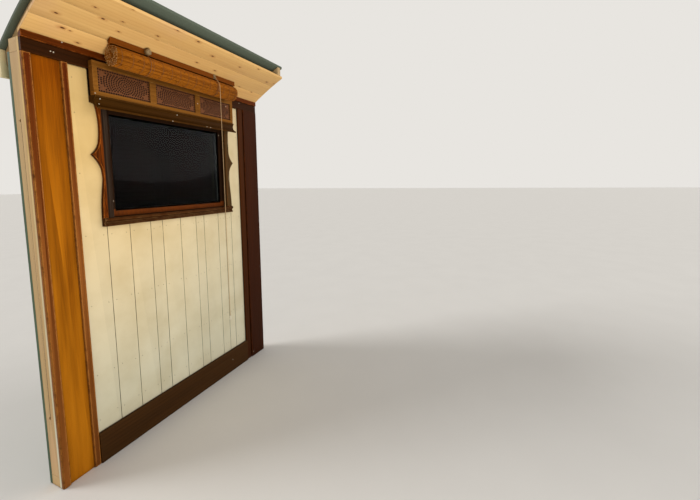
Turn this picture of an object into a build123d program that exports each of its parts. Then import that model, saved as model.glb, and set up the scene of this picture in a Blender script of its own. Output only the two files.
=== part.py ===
from build123d import *
import math
import os

# Window bay of a wooden living wagon's side wall, in millimetres.
# X runs along the wagon, Y points out of it and +Z up. The origin is under the sole rail, on the
# window's centre line and in the middle of the timber frame. "Proud" is a distance into the room,
# measured from the face of the inner boards.

# Wall
BAY_LEFT = -642.0
BAY_RIGHT = 678.0
FRAME_DEPTH = 55.0
INNER_BOARD_T = 12.0
OUTER_BOARD_T = 18.0
POST_WIDTH = 70.0
SOLE_HEIGHT = 45.0
PLATE_HEIGHT = 50.0
Y_IN = -(FRAME_DEPTH / 2 + INNER_BOARD_T)
Y_OUT = FRAME_DEPTH / 2 + OUTER_BOARD_T
WALL_THICKNESS = Y_OUT - Y_IN

# Window opening, inside its lining. The levels above it all follow from its own.
OPEN_HALF = 358.0
OPEN_BOTTOM = 1108.0
OPEN_HEIGHT = 492.0
OPEN_TOP = OPEN_BOTTOM + OPEN_HEIGHT
LINING_T = 18.0
PACKING = 6.0
HOLE_HALF = OPEN_HALF + LINING_T + PACKING
HOLE_BOTTOM = OPEN_BOTTOM - LINING_T - PACKING
HOLE_TOP = OPEN_TOP + LINING_T + PACKING
PLATE_ABOVE_WINDOW = 200.0
PLATE_TOP = OPEN_TOP + PLATE_ABOVE_WINDOW
OUTER_BOARDS_BELOW_PLATE = 45.0
OUTER_BOARD_TOP = PLATE_TOP - OUTER_BOARDS_BELOW_PLATE

# Cover strips over the ends of the boarding, by their two edges along X
LEFT_STRIP = (-519.0, -493.0)
RIGHT_STRIP = (498.0, 542.0)

# Tongued boards: the joints between the inner boards, by their place along X
INNER_JOINTS = [BAY_LEFT, -571.0, LEFT_STRIP[1], -HOLE_HALF, -277.0, -169.0, -101.0, 11.0, 118.0, 178.0,
                292.0, 354.0, 408.0, RIGHT_STRIP[0], 588.0, BAY_RIGHT]
OUTER_BOARD_WIDTH = 95.0
JOINT_GAP = 0.4
JOINT_VEE = 1.6
TONGUE_LENGTH = 5.0
TONGUE_SLACK = 0.3

# Fixed sash and its sealed double pane
SASH_SETBACK = 10.0
SASH_DEPTH = 36.0
SASH_FACE = 25.0
SASH_LIP = 8.0
GLASS_BITE = 10.0
PANE_T = 4.0
PANE_SPACE = 12.0
SPACER_WIDTH = 18.0
SASH_SLACK = 0.3

# Sill moulding: its level, its reach past the opening and how proud its nose is
SILL_STEP = 2.0
SILL_HEIGHT = 38.0
SILL_TOP = OPEN_BOTTOM - SILL_STEP
SILL_FOOT = SILL_TOP - SILL_HEIGHT
SILL_REACH = 44.0
SILL_PROUD = 27.0
SILL_COVE = 9.0
SILL_LIP = 4.0
SILL_LIP_HEIGHT = 8.0
SILL_NOSE_FOOT = 26.0

# Wavy surround. Its outer edge is a chain of arcs, upwards from the sill: every second point ends
# one arc, and the points between are the arcs' middles. Each has a margin past the opening and a
# share of the height from the sill to the surround's top.
SURROUND_T = 16.0
BEAD_WIDTH = 20.0
BEAD_T = 5.0
BEAD_EASE = 2.0
HEAD_HEIGHT = 36.0
SURROUND_TOP = OPEN_TOP + HEAD_HEIGHT
EDGE_MARGINS = [44.0, 40.0, 32.0, 29.0, 33.0, 47.0, 70.0, 48.0, 36.0, 30.5, 49.0]
EDGE_SHARES = [0, 0.149, 0.272, 0.347, 0.417, 0.475, 0.528, 0.575, 0.634, 0.745, 1]

# Boards planted on the wall
SKIRTING_HEIGHT = 139.0
SKIRTING_T = 18.0
SKIRTING_EDGE = 4.0
STRIP_T = 14.0
STRIP_EDGE = 3.0
LEFT_END_STRIP_WIDTH = 29.0
LEFT_CASING_T = 6.0
RIGHT_STRIP_T = 12.0
RIGHT_CASING_T = 18.0
EAVES_STRIP_BELOW_PLATE = 3.0
EAVES_STRIP_FOOT = PLATE_TOP - EAVES_STRIP_BELOW_PLATE
EAVES_STRIP_T = 20.0
EAVES_STRIP_EDGE = 2.0
EAVES_BOARD_HEIGHT = 49.0
EAVES_BOARD_FOOT = EAVES_STRIP_FOOT - EAVES_BOARD_HEIGHT
EAVES_BOARD_T = 14.0

# Pelmet with three pierced panels
PELMET_REACH = 59.0
PELMET_HALF = OPEN_HALF + PELMET_REACH
PELMET_HEIGHT = 145.0
PELMET_TOP = SURROUND_TOP + PELMET_HEIGHT
PELMET_PROUD = 40.0
RAIL_LOW = 19.0
RAIL_HIGH = 26.0
END_STILE = 20.0
MID_STILE = 34.0
FRET_COUNT = 3
FRET_T = 6.0
FRET_BACK = 28.0
FRET_BITE = 4.0
FRET_SLACK = 0.3

# Piercings of a panel: rings of kites about its centre, inside a row of kites along its edge. The
# outer rings are cut short by that row, and they leave one solid petal in each corner
RING_COUNTS = [8, 14, 22, 28, 34, 42, 50, 56, 64, 70]
RING_HALF_WIDTHS = [8.5, 19.0, 29.5, 40.0, 50.5, 61.0, 71.5, 82.5, 93.5, 104.5]
RING_FLATNESS = 0.875
RING_HOLE_LENGTHS = [7.4, 7.8, 7.8, 7.8, 8.0, 8.0, 8.0, 8.2, 8.2, 8.0]
RING_HOLE_WIDTHS = [4.2, 5.4, 6.0, 6.4, 6.6, 6.5, 6.4, 6.6, 6.8, 6.8]
EDGE_ROW_INSET = 9.0
EDGE_ROW_STEPS = (22, 8)
EDGE_ROW_HOLE = (8.4, 7.0)
RING_MARGIN = 17.0
PETAL_INSET = (25.0, 25.0)
PETAL_HALF = (12.5, 12.0)

# Moulding under the pelmet: a fillet at its top, then a cove that sweeps out to a rounded lip
MOULDING_HEIGHT = 59.0
MOULDING_FOOT = SURROUND_TOP - MOULDING_HEIGHT
MOULDING_PROUD = 60.0
MOULDING_LIP = 2.0
MOULDING_LIP_HEIGHT = 10.0
MOULDING_FILLET = (6.0, 6.0)
MOULDING_NECK = (0.5, 12.0)
MOULDING_COVE = (3.0, 22.0)
MOULDING_BACK = 26.0
UNDERSIDE_SHARE = 0.43

# Roof: one circle across the wagon, from the room side of the wall
SPRING_ABOVE_PLATE = 10.0
CEILING_SPRING = PLATE_TOP + SPRING_ABOVE_PLATE
CEILING_RADIUS = 1900.0
HALF_WAGON = 1100.0
CEILING_T = 12.0
BOW_DEPTH = 45.0
BOW_WIDTH = 30.0
DECK_T = 12.0
ROOF_CUT = 250.0
EAVES_OVERHANG = 70.0
CEILING_BOARDS = 3
FASCIA_T = 18.0
FASCIA_HEIGHT = 90.0
ROOF_SEAT = 0.2

# Levels of the roof's circles
ROOF_CENTRE_Y = Y_IN - HALF_WAGON
ROOF_CENTRE_Z = CEILING_SPRING - math.sqrt(CEILING_RADIUS ** 2 - HALF_WAGON ** 2)
BOW_INNER = CEILING_RADIUS + CEILING_T
DECK_INNER = BOW_INNER + BOW_DEPTH

# Bamboo blind under the ceiling
BATTEN_REACH = 16.0
BATTEN_HALF = OPEN_HALF + BATTEN_REACH
BATTEN_HEIGHT = 14.6
BATTEN_BACK = 86.0
BATTEN_T = 18.0
BATTEN_FOOT = ROOF_CENTRE_Z + math.sqrt(CEILING_RADIUS ** 2 - (HALF_WAGON - BATTEN_BACK) ** 2) - BATTEN_HEIGHT
ROLL_SHORT = 6.0
ROLL_HALF = BATTEN_HALF - ROLL_SHORT
ROLL_RADIUS = 46.0
ROLL_PROUD = 91.0
ROLL_GAP = 1.0
ROLL_Z = BATTEN_FOOT - ROLL_GAP - ROLL_RADIUS
MAT_T = 4.0
MAT_TOP = 9.0
CLIP_X = 209.0
CLIP_HEIGHT = 24.0
CLIP_WIDTH = 16.0
CLIP_T = 2.0
EYE_RADIUS = 5.0
EYE_WIRE = 1.2
KNOB_RADIUS = 13.5
KNOB_T = 16.0
KNOB_EDGE = 3.0
KNOB_RISE = 13.0
LOOP_CORD_R = 1.3
LOOP_SHIFT = 6.0
LOOP_END = (7.0, 2.0)
PULL_CORD_R = 1.5
CORD_SEAT = 0.3
CORD_CLEAR = 4.7
CORD_BEND = 22.0
ACORN_TOP = 450.0
ACORN_HEIGHT = 27.0
ACORN_RADIUS = 6.3

# Outside trim
CASING_OUT_T = 20.0
CASING_OUT_REACH = 42.0
CASING_OUT_HEIGHT = 32.0
CASING_OUT_TOP = OPEN_TOP + CASING_OUT_HEIGHT
OUT_SILL_STEP = 26.0
OUT_SILL_TOP = OPEN_BOTTOM - OUT_SILL_STEP
OUT_SILL_HEIGHT = 36.0
OUT_SILL_FOOT = OUT_SILL_TOP - OUT_SILL_HEIGHT
OUT_SILL_SLOPE = 8.0
OUT_TRIM_REACH = 57.0
OUT_TRIM_PROUD = 64.0
DRIP_HEIGHT = 30.0
DRIP_NOSE = 12.0
DRIP_TOP_DEPTH = 8.0
THROAT_DEPTH = 5.0
THROAT_WIDTH = 6.0

# Louvred shutters
SHUTTER_CLEARANCE = 5.0
SHUTTER_T = 24.0
SHUTTER_ABOVE_SILL = 8.0
SHUTTER_BELOW_DRIP = 12.0
SHUTTER_BOTTOM = OUT_SILL_TOP + SHUTTER_ABOVE_SILL
SHUTTER_TOP = CASING_OUT_TOP - SHUTTER_BELOW_DRIP
SHUTTER_REACH = 46.0
SHUTTER_STILE = 46.0
SHUTTER_RAIL = 58.0
LOUVRE_COUNT = 19
LOUVRE_T = 7.0
LOUVRE_WIDTH = 28.0
LOUVRE_TILT = 45.0
LOUVRE_EDGE = 1.5
LOUVRE_SEAT = 0.2
STRAP_LENGTH = 290.0
STRAP_HEIGHT = 26.0
STRAP_POINT = 30.0
STRAP_TAPER = 5.0
STRAP_T = 4.0
STRAP_INSET = 95.0
PIN_OFFSET = 12.0
PIN_RADIUS = 6.0
PIN_RUNNING = 0.05
PIN_ABOVE_EYE = 4.0
EYE_OUTER = 10.0
BOSS_RADIUS = 9.0
ARM_WIDTH = 10.0
ARM_HEIGHT = 12.0
FOOT_PLATE_T = 5.0
FOOT_PLATE_WIDTH = 28.0
FOOT_PLATE_HEIGHT = 60.0
FOOT_PLATE_RISE = 15.0
HINGE_LIFT = 0.3

# Bolt holes for fastening the bay to its neighbours and to a floor
BOLT_RADIUS = 5.5
SOLE_BOLT_SPACING = 1100.0
POST_BOLT_LOW = 300.0
POST_BOLT_SPACING = 1200.0


def roof_height(radius, proud):
    """Height of one of the roof's circles at a distance into the room."""
    return ROOF_CENTRE_Z + math.sqrt(radius ** 2 - (HALF_WAGON - proud) ** 2)


def block(x0, x1, proud0, proud1, z0, z1):
    """Plain block between two distances into the room."""
    size = Box(x1 - x0, proud1 - proud0, z1 - z0)
    return Pos((x0 + x1) / 2, Y_IN - (proud0 + proud1) / 2, (z0 + z1) / 2) * size


def section(points, x0, x1):
    """Block with a drawn cross-section, from x0 to x1. Points are (proud, z)."""
    outline = [(Y_IN - proud, z) for proud, z in points]
    return extrude(Plane.YZ.offset(x0) * make_face(Polyline(*outline, close=True)), amount=x1 - x0)


def ring_sector(inner, outer, proud0, proud1, x0, x1):
    """Curved strip between two of the roof's circles and two upright cuts."""
    middle = (ROOF_CENTRE_Y, ROOF_CENTRE_Z)
    ring = Pos(*middle) * (Circle(outer) - Circle(inner))
    width = proud1 - proud0
    height = outer
    window = Pos(Y_IN - (proud0 + proud1) / 2, ROOF_CENTRE_Z + height / 2 + 1) * Rectangle(width, height)
    return extrude(Plane.YZ.offset(x0) * (ring & window), amount=x1 - x0)


def save(name, *solids):
    """Write one node: a single solid, or like pieces that don't touch."""
    pieces = [piece for solid in solids for piece in solid.solids()]
    shape = pieces[0] if len(pieces) == 1 else Compound(children=pieces)
    export_step(shape, "parts/" + name + ".step")


def tongued_board(x0, x1, y_face, y_back, z0, z1, first, last):
    """One board with a tongue at its right edge and a groove at its left."""
    side = 1 if y_back > y_face else -1
    thick = abs(y_back - y_face)
    left = x0 + (0 if first else JOINT_GAP / 2)
    right = x1 - (0 if last else JOINT_GAP / 2)
    tongue = thick / 6
    slot = tongue + TONGUE_SLACK
    reach = TONGUE_LENGTH + TONGUE_SLACK
    points = [(left + JOINT_VEE, 0), (right - JOINT_VEE, 0), (right, JOINT_VEE)]
    if not last:
        points += [(right, thick / 2 - tongue), (right + TONGUE_LENGTH, thick / 2 - tongue),
                   (right + TONGUE_LENGTH, thick / 2 + tongue), (right, thick / 2 + tongue)]
    points += [(right, thick), (left, thick)]
    if not first:
        points += [(left, thick / 2 + slot), (left + reach, thick / 2 + slot),
                   (left + reach, thick / 2 - slot), (left, thick / 2 - slot)]
    points += [(left, JOINT_VEE)]
    outline = [(x, y_face + side * depth) for x, depth in points]
    return extrude(Plane.XY.offset(z0) * make_face(Polyline(*outline, close=True)), amount=z1 - z0)


def boarding(joints, y_face, y_back, z0, z1):
    """A row of tongued boards, cut round the window."""
    low, high = min(y_face, y_back), max(y_face, y_back)
    hole_size = Box(2 * HOLE_HALF, high - low + 2, HOLE_TOP - HOLE_BOTTOM)
    hole = Pos(0, (low + high) / 2, (HOLE_BOTTOM + HOLE_TOP) / 2) * hole_size
    boards = []
    for i, (x0, x1) in enumerate(zip(joints, joints[1:])):
        board = tongued_board(x0, x1, y_face, y_back, z0, z1, i == 0, i == len(joints) - 2)
        if x1 + TONGUE_LENGTH > -HOLE_HALF and x0 < HOLE_HALF:
            board = board - hole
        boards.append(board)
    return boards


def upright_hole(x, z0, z1):
    return Pos(x, 0, (z0 + z1) / 2) * Cylinder(BOLT_RADIUS, z1 - z0 + 2)


def frame_timber(x0, x1, z0, z1):
    size = Box(x1 - x0, FRAME_DEPTH, z1 - z0)
    return Pos((x0 + x1) / 2, 0, (z0 + z1) / 2) * size


def frame():
    """Sole rail, two posts and the wall plate, with their bolt holes."""
    sole = frame_timber(BAY_LEFT, BAY_RIGHT, 0, SOLE_HEIGHT)
    for x in (-SOLE_BOLT_SPACING / 2, SOLE_BOLT_SPACING / 2):
        sole = sole - upright_hole(x, 0, SOLE_HEIGHT)
    save("sole_rail", sole)
    plate_foot = PLATE_TOP - PLATE_HEIGHT
    for name, x0 in (("post_left", BAY_LEFT), ("post_right", BAY_RIGHT - POST_WIDTH)):
        post = frame_timber(x0, x0 + POST_WIDTH, SOLE_HEIGHT, plate_foot)
        for z in (POST_BOLT_LOW, POST_BOLT_LOW + POST_BOLT_SPACING):
            bolt = Pos(x0 + POST_WIDTH / 2, 0, z) * Rot(0, 90, 0) * Cylinder(BOLT_RADIUS, POST_WIDTH + 2)
            post = post - bolt
        save(name, post)
    save("wall_plate", frame_timber(BAY_LEFT, BAY_RIGHT, plate_foot, PLATE_TOP))


def wall_boards():
    """Inner boards at their measured joints, and outer boards that share out each side of the window."""
    save("inner_boards", *boarding(INNER_JOINTS, Y_IN, -FRAME_DEPTH / 2, 0, PLATE_TOP))
    joints = [BAY_LEFT]
    for x0, x1 in ((BAY_LEFT, -HOLE_HALF), (-HOLE_HALF, HOLE_HALF), (HOLE_HALF, BAY_RIGHT)):
        count = max(1, round((x1 - x0) / OUTER_BOARD_WIDTH))
        joints += [x0 + (x1 - x0) * (i + 1) / count for i in range(count)]
    save("outer_boards", *boarding(joints, Y_OUT, FRAME_DEPTH / 2, 0, OUTER_BOARD_TOP))


def eased(board, size=STRIP_EDGE):
    """The board with the two upright edges of its room face taken off."""
    return chamfer(board.edges().filter_by(Axis.Z).group_by(Axis.Y)[0], size)


def planted_boards():
    """Skirting, cover strips, casings and the two eaves pieces on the room side."""
    foot = EAVES_BOARD_FOOT
    skirting = [(0, 0), (SKIRTING_T, 0), (SKIRTING_T, SKIRTING_HEIGHT - 2 * SKIRTING_EDGE),
                (SKIRTING_T - SKIRTING_EDGE, SKIRTING_HEIGHT), (0, SKIRTING_HEIGHT)]
    save("skirting", section(skirting, LEFT_STRIP[1], RIGHT_STRIP[0]))
    end_strip = (BAY_LEFT, BAY_LEFT + LEFT_END_STRIP_WIDTH)
    strips = []
    for x0, x1 in (LEFT_STRIP, end_strip):
        strips.append(eased(block(x0, x1, 0, STRIP_T, 0, foot)))
    save("cover_strips_left", *strips)
    save("casing_left", block(end_strip[1], LEFT_STRIP[0], 0, LEFT_CASING_T, 0, foot))
    save("cover_strip_right", eased(block(*RIGHT_STRIP, 0, RIGHT_STRIP_T, 0, foot)))
    save("casing_right", eased(block(RIGHT_STRIP[1], BAY_RIGHT, 0, RIGHT_CASING_T, 0, foot)))
    save("eaves_board", block(BAY_LEFT, BAY_RIGHT, 0, EAVES_BOARD_T, foot, EAVES_STRIP_FOOT))
    strip_top = roof_height(CEILING_RADIUS - ROOF_SEAT, EAVES_STRIP_T)
    back_top = roof_height(CEILING_RADIUS - ROOF_SEAT, 0)
    strip = [(0, EAVES_STRIP_FOOT), (EAVES_STRIP_T - EAVES_STRIP_EDGE, EAVES_STRIP_FOOT),
             (EAVES_STRIP_T, EAVES_STRIP_FOOT + EAVES_STRIP_EDGE), (EAVES_STRIP_T, strip_top), (0, back_top)]
    save("eaves_strip", section(strip, BAY_LEFT, BAY_RIGHT))


def window():
    """Lining, fixed sash and sealed panes."""
    side = JOINT_GAP / 2
    outer_half = OPEN_HALF + LINING_T
    jambs = [block(x0, x0 + LINING_T, -WALL_THICKNESS, 0, OPEN_BOTTOM + side, OPEN_TOP - side)
             for x0 in (-outer_half, OPEN_HALF)]
    head = block(-outer_half, outer_half, -WALL_THICKNESS, 0, OPEN_TOP, OPEN_TOP + LINING_T)
    sill = block(-outer_half, outer_half, -WALL_THICKNESS, 0, OPEN_BOTTOM - LINING_T, OPEN_BOTTOM)
    save("window_lining", *jambs, head, sill)

    half = OPEN_HALF - SASH_SLACK
    bottom, top = OPEN_BOTTOM + SASH_SLACK, OPEN_TOP - SASH_SLACK
    face = SASH_FACE
    near, far = -SASH_SETBACK, -SASH_SETBACK - SASH_DEPTH
    unit = 2 * PANE_T + PANE_SPACE
    pane_half = half - face + GLASS_BITE
    pane_bottom, pane_top = bottom + face - GLASS_BITE, top - face + GLASS_BITE
    pane_near = near - SASH_LIP
    seat = SASH_SLACK
    bed = block(-pane_half - seat, pane_half + seat, pane_near - unit - seat, pane_near + seat,
                pane_bottom - seat, pane_top + seat)
    stiles = [block(x0, x0 + face, far, near, bottom, top) - bed for x0 in (-half, half - face)]
    inner = half - face - side
    rails = [block(-inner, inner, far, near, z0, z0 + face) - bed for z0 in (bottom, top - face)]
    save("sash_frame", *stiles, *rails)
    panes = [block(-pane_half, pane_half, p0 - PANE_T, p0, pane_bottom, pane_top)
             for p0 in (pane_near, pane_near - PANE_T - PANE_SPACE)]
    save("glass_panes", *panes)
    ring = block(-pane_half, pane_half, pane_near - PANE_T - PANE_SPACE, pane_near - PANE_T,
                 pane_bottom, pane_top)
    hollow = block(-pane_half + SPACER_WIDTH, pane_half - SPACER_WIDTH, pane_near - unit, pane_near,
                   pane_bottom + SPACER_WIDTH, pane_top - SPACER_WIDTH)
    save("glass_spacer", ring - hollow)


def surround_board():
    """Right-hand surround board: straight inside, wavy outside, with a bead planted along it."""
    height = SURROUND_TOP - SILL_TOP
    points = [(OPEN_HALF + margin, SILL_TOP + share * height)
              for margin, share in zip(EDGE_MARGINS, EDGE_SHARES)]
    edges = [ThreePointArc(*points[i:i + 3]) for i in range(0, len(points) - 1, 2)]
    edges.append(Polyline(points[-1], (OPEN_HALF, SURROUND_TOP), (OPEN_HALF, SILL_TOP), points[0]))
    face = Plane.XZ.offset(-Y_IN) * make_face(edges)
    board = extrude(face, amount=SURROUND_T)
    bead = block(OPEN_HALF, OPEN_HALF + BEAD_WIDTH, SURROUND_T, SURROUND_T + BEAD_T, SILL_TOP, SURROUND_TOP)
    return board + eased(bead, BEAD_EASE)


def surround():
    board = surround_board()
    save("surround_right", board)
    save("surround_left", mirror(board, about=Plane.YZ))
    save("surround_head", block(-OPEN_HALF, OPEN_HALF, 0, SURROUND_T, OPEN_TOP, SURROUND_TOP))
    cove = SILL_PROUD - SILL_COVE
    lip = SILL_PROUD - SILL_LIP
    lip_top = SILL_FOOT + SILL_LIP_HEIGHT
    nose = SILL_FOOT + SILL_NOSE_FOOT
    profile = [(0, SILL_FOOT), (lip, SILL_FOOT), (lip, lip_top), (cove, lip_top + SILL_LIP),
               (cove, nose - 2 * SILL_LIP), (SILL_PROUD, nose), (SILL_PROUD, SILL_TOP - SILL_LIP),
               (lip, SILL_TOP), (0, SILL_TOP)]
    save("sill_moulding", section(profile, -OPEN_HALF - SILL_REACH, OPEN_HALF + SILL_REACH))


def kite(x, z, angle, length, width):
    """Four-cornered piercing, pointing along its angle."""
    along = (math.cos(angle), math.sin(angle))
    corners = [(length / 2, 0), (0, width / 2), (-length / 2, 0), (0, -width / 2)]
    return [(x + a * along[0] - b * along[1], z + a * along[1] + b * along[0]) for a, b in corners]


def fret_holes(half_width, half_height):
    """Piercings of one panel: rings about its centre, round its petals, and a row along its edge."""
    holes = []
    rings = zip(RING_COUNTS, RING_HALF_WIDTHS, RING_HOLE_LENGTHS, RING_HOLE_WIDTHS)
    for count, ring_x, length, width in rings:
        for i in range(count):
            angle = 2 * math.pi * (i + 0.5) / count
            x, z = ring_x * math.cos(angle), RING_FLATNESS * ring_x * math.sin(angle)
            inside = abs(x) < half_width - RING_MARGIN and abs(z) < half_height - RING_MARGIN
            petal_x = (abs(x) - half_width + PETAL_INSET[0]) / PETAL_HALF[0]
            petal_z = (abs(z) - half_height + PETAL_INSET[1]) / PETAL_HALF[1]
            if inside and math.hypot(petal_x, petal_z) > 1:
                holes.append(kite(x, z, math.atan2(z, x), length, width))
    reach_x, reach_z = half_width - EDGE_ROW_INSET, half_height - EDGE_ROW_INSET
    across, up = EDGE_ROW_STEPS
    for side in (-1, 1):
        for i in range(across + 1):
            x = reach_x * (2 * i / across - 1)
            holes.append(kite(x, side * reach_z, 0, *EDGE_ROW_HOLE))
        for i in range(1, up):
            z = reach_z * (2 * i / up - 1)
            holes.append(kite(side * reach_x, z, 0, *EDGE_ROW_HOLE))
    return holes


def pelmet():
    """Backboard, frame of rails and stiles, three pierced panels and the moulding below."""
    low, high = SURROUND_TOP, PELMET_TOP
    back = EAVES_BOARD_T
    front = PELMET_PROUD
    save("pelmet_backboard", block(-PELMET_HALF, PELMET_HALF, 0, back, low, EAVES_BOARD_FOOT))
    open_width = (2 * PELMET_HALF - 2 * END_STILE - (FRET_COUNT - 1) * MID_STILE) / FRET_COUNT
    open_low, open_high = low + RAIL_LOW, high - RAIL_HIGH
    centres = [-PELMET_HALF + END_STILE + open_width / 2 + i * (open_width + MID_STILE)
               for i in range(FRET_COUNT)]
    slack = FRET_SLACK
    beds = [block(c - open_width / 2 - FRET_BITE, c + open_width / 2 + FRET_BITE,
                  FRET_BACK - slack, FRET_BACK + FRET_T + slack,
                  open_low - FRET_BITE, open_high + FRET_BITE) for c in centres]
    bars = [block(-PELMET_HALF, PELMET_HALF, back, front, low, open_low),
            block(-PELMET_HALF, PELMET_HALF, back, front, open_high, high)]
    uprights = [(-PELMET_HALF, -PELMET_HALF + END_STILE), (PELMET_HALF - END_STILE, PELMET_HALF)]
    uprights += [(c + open_width / 2, c + open_width / 2 + MID_STILE) for c in centres[:-1]]
    gap = JOINT_GAP / 2
    bars += [block(x0, x1, back, front, open_low + gap, open_high - gap) for x0, x1 in uprights]
    for bed in beds:
        bars = [bar - bed for bar in bars]
    save("pelmet_frame", *bars)

    half_width = open_width / 2 + FRET_BITE - slack
    half_height = (open_high - open_low) / 2 + FRET_BITE - slack
    sheet = Rectangle(2 * half_width, 2 * half_height)
    holes = [make_face(Polyline(*points, close=True)) for points in fret_holes(half_width, half_height)]
    pierced = sheet - holes
    face_plane = Plane.XZ.offset(-Y_IN + FRET_BACK)
    middle_z = (open_low + open_high) / 2
    panel = Pos(0, 0, middle_z) * extrude(face_plane * pierced, amount=FRET_T)
    for name, centre in zip(("left", "middle", "right"), centres):
        save("fret_panel_" + name, Pos(centre, 0, 0) * panel)

    lip, foot = MOULDING_PROUD, MOULDING_FOOT
    nose = lip + MOULDING_LIP
    lip_top = foot + MOULDING_LIP_HEIGHT
    fillet_front, fillet_foot = front + MOULDING_FILLET[0], low - MOULDING_FILLET[1]
    neck = (front + MOULDING_NECK[0], low - MOULDING_NECK[1])
    cove = (neck[0] + MOULDING_COVE[0], foot + MOULDING_COVE[1])
    back_foot = (0, low - MOULDING_BACK)
    hollow = (lip * UNDERSIDE_SHARE, foot + MOULDING_COVE[1])
    outline = [
        Polyline(*wall_points([back_foot, (0, low), (fillet_front, low), (fillet_front, fillet_foot), neck])),
        ThreePointArc(*wall_points([neck, cove, (lip, lip_top)])),
        Polyline(*wall_points([(lip, lip_top), (nose, lip_top - MOULDING_LIP), (nose, foot + MOULDING_LIP),
                               (lip, foot)])),
        ThreePointArc(*wall_points([(lip, foot), hollow, back_foot])),
    ]
    face = Plane.YZ.offset(-PELMET_HALF) * make_face(outline)
    moulding = extrude(face, amount=2 * PELMET_HALF)
    reach = OPEN_HALF + EDGE_MARGINS[-1] + FRET_SLACK
    rebate_depth = SURROUND_T + BEAD_T + FRET_SLACK
    rebate = block(-reach, reach, -FRET_SLACK, rebate_depth, foot - FRET_SLACK, low + FRET_SLACK)
    save("pelmet_moulding", moulding - rebate)


def wall_points(points):
    return [(Y_IN - proud, z) for proud, z in points]


def roof():
    """Bows notched over the plate, ceiling boards below them, the deck above and the fascia."""
    deck_out = -(WALL_THICKNESS + EAVES_OVERHANG)
    bow_out = deck_out + FASCIA_T
    plate = block(BAY_LEFT, BAY_RIGHT, -INNER_BOARD_T - FRAME_DEPTH, -INNER_BOARD_T,
                  PLATE_TOP - PLATE_HEIGHT, PLATE_TOP)
    for name, centre in (("roof_bow_left", BAY_LEFT + POST_WIDTH / 2),
                         ("roof_bow_right", BAY_RIGHT - POST_WIDTH / 2)):
        bow = ring_sector(BOW_INNER + ROOF_SEAT, DECK_INNER - ROOF_SEAT, bow_out, ROOF_CUT,
                          centre - BOW_WIDTH / 2, centre + BOW_WIDTH / 2)
        save(name, bow - plate)
    width = ROOF_CUT / CEILING_BOARDS
    boards = []
    for i in range(CEILING_BOARDS):
        start = i * width + (JOINT_GAP / 2 if i else 0)
        boards.append(ring_sector(CEILING_RADIUS, BOW_INNER, start, (i + 1) * width - JOINT_GAP / 2,
                                  BAY_LEFT, BAY_RIGHT))
    save("ceiling_boards", *boards)
    save("roof_deck", ring_sector(DECK_INNER, DECK_INNER + DECK_T, deck_out, ROOF_CUT, BAY_LEFT, BAY_RIGHT))
    top = roof_height(DECK_INNER - ROOF_SEAT, deck_out)
    inner_top = roof_height(DECK_INNER - ROOF_SEAT, bow_out)
    fascia = [(deck_out, top), (bow_out, inner_top), (bow_out, top - FASCIA_HEIGHT),
              (deck_out, top - FASCIA_HEIGHT)]
    save("eaves_fascia", section(fascia, BAY_LEFT, BAY_RIGHT))


def tangent_point(point, radius, turn):
    """Where a line from a point touches a circle about the roll's centre. Points are (proud, z)."""
    dx, dz = point[0] - ROLL_PROUD, point[1] - ROLL_Z
    angle = math.atan2(dz, dx) + turn * math.acos(radius / math.hypot(dx, dz))
    return (ROLL_PROUD + radius * math.cos(angle), ROLL_Z + radius * math.sin(angle))


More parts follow.
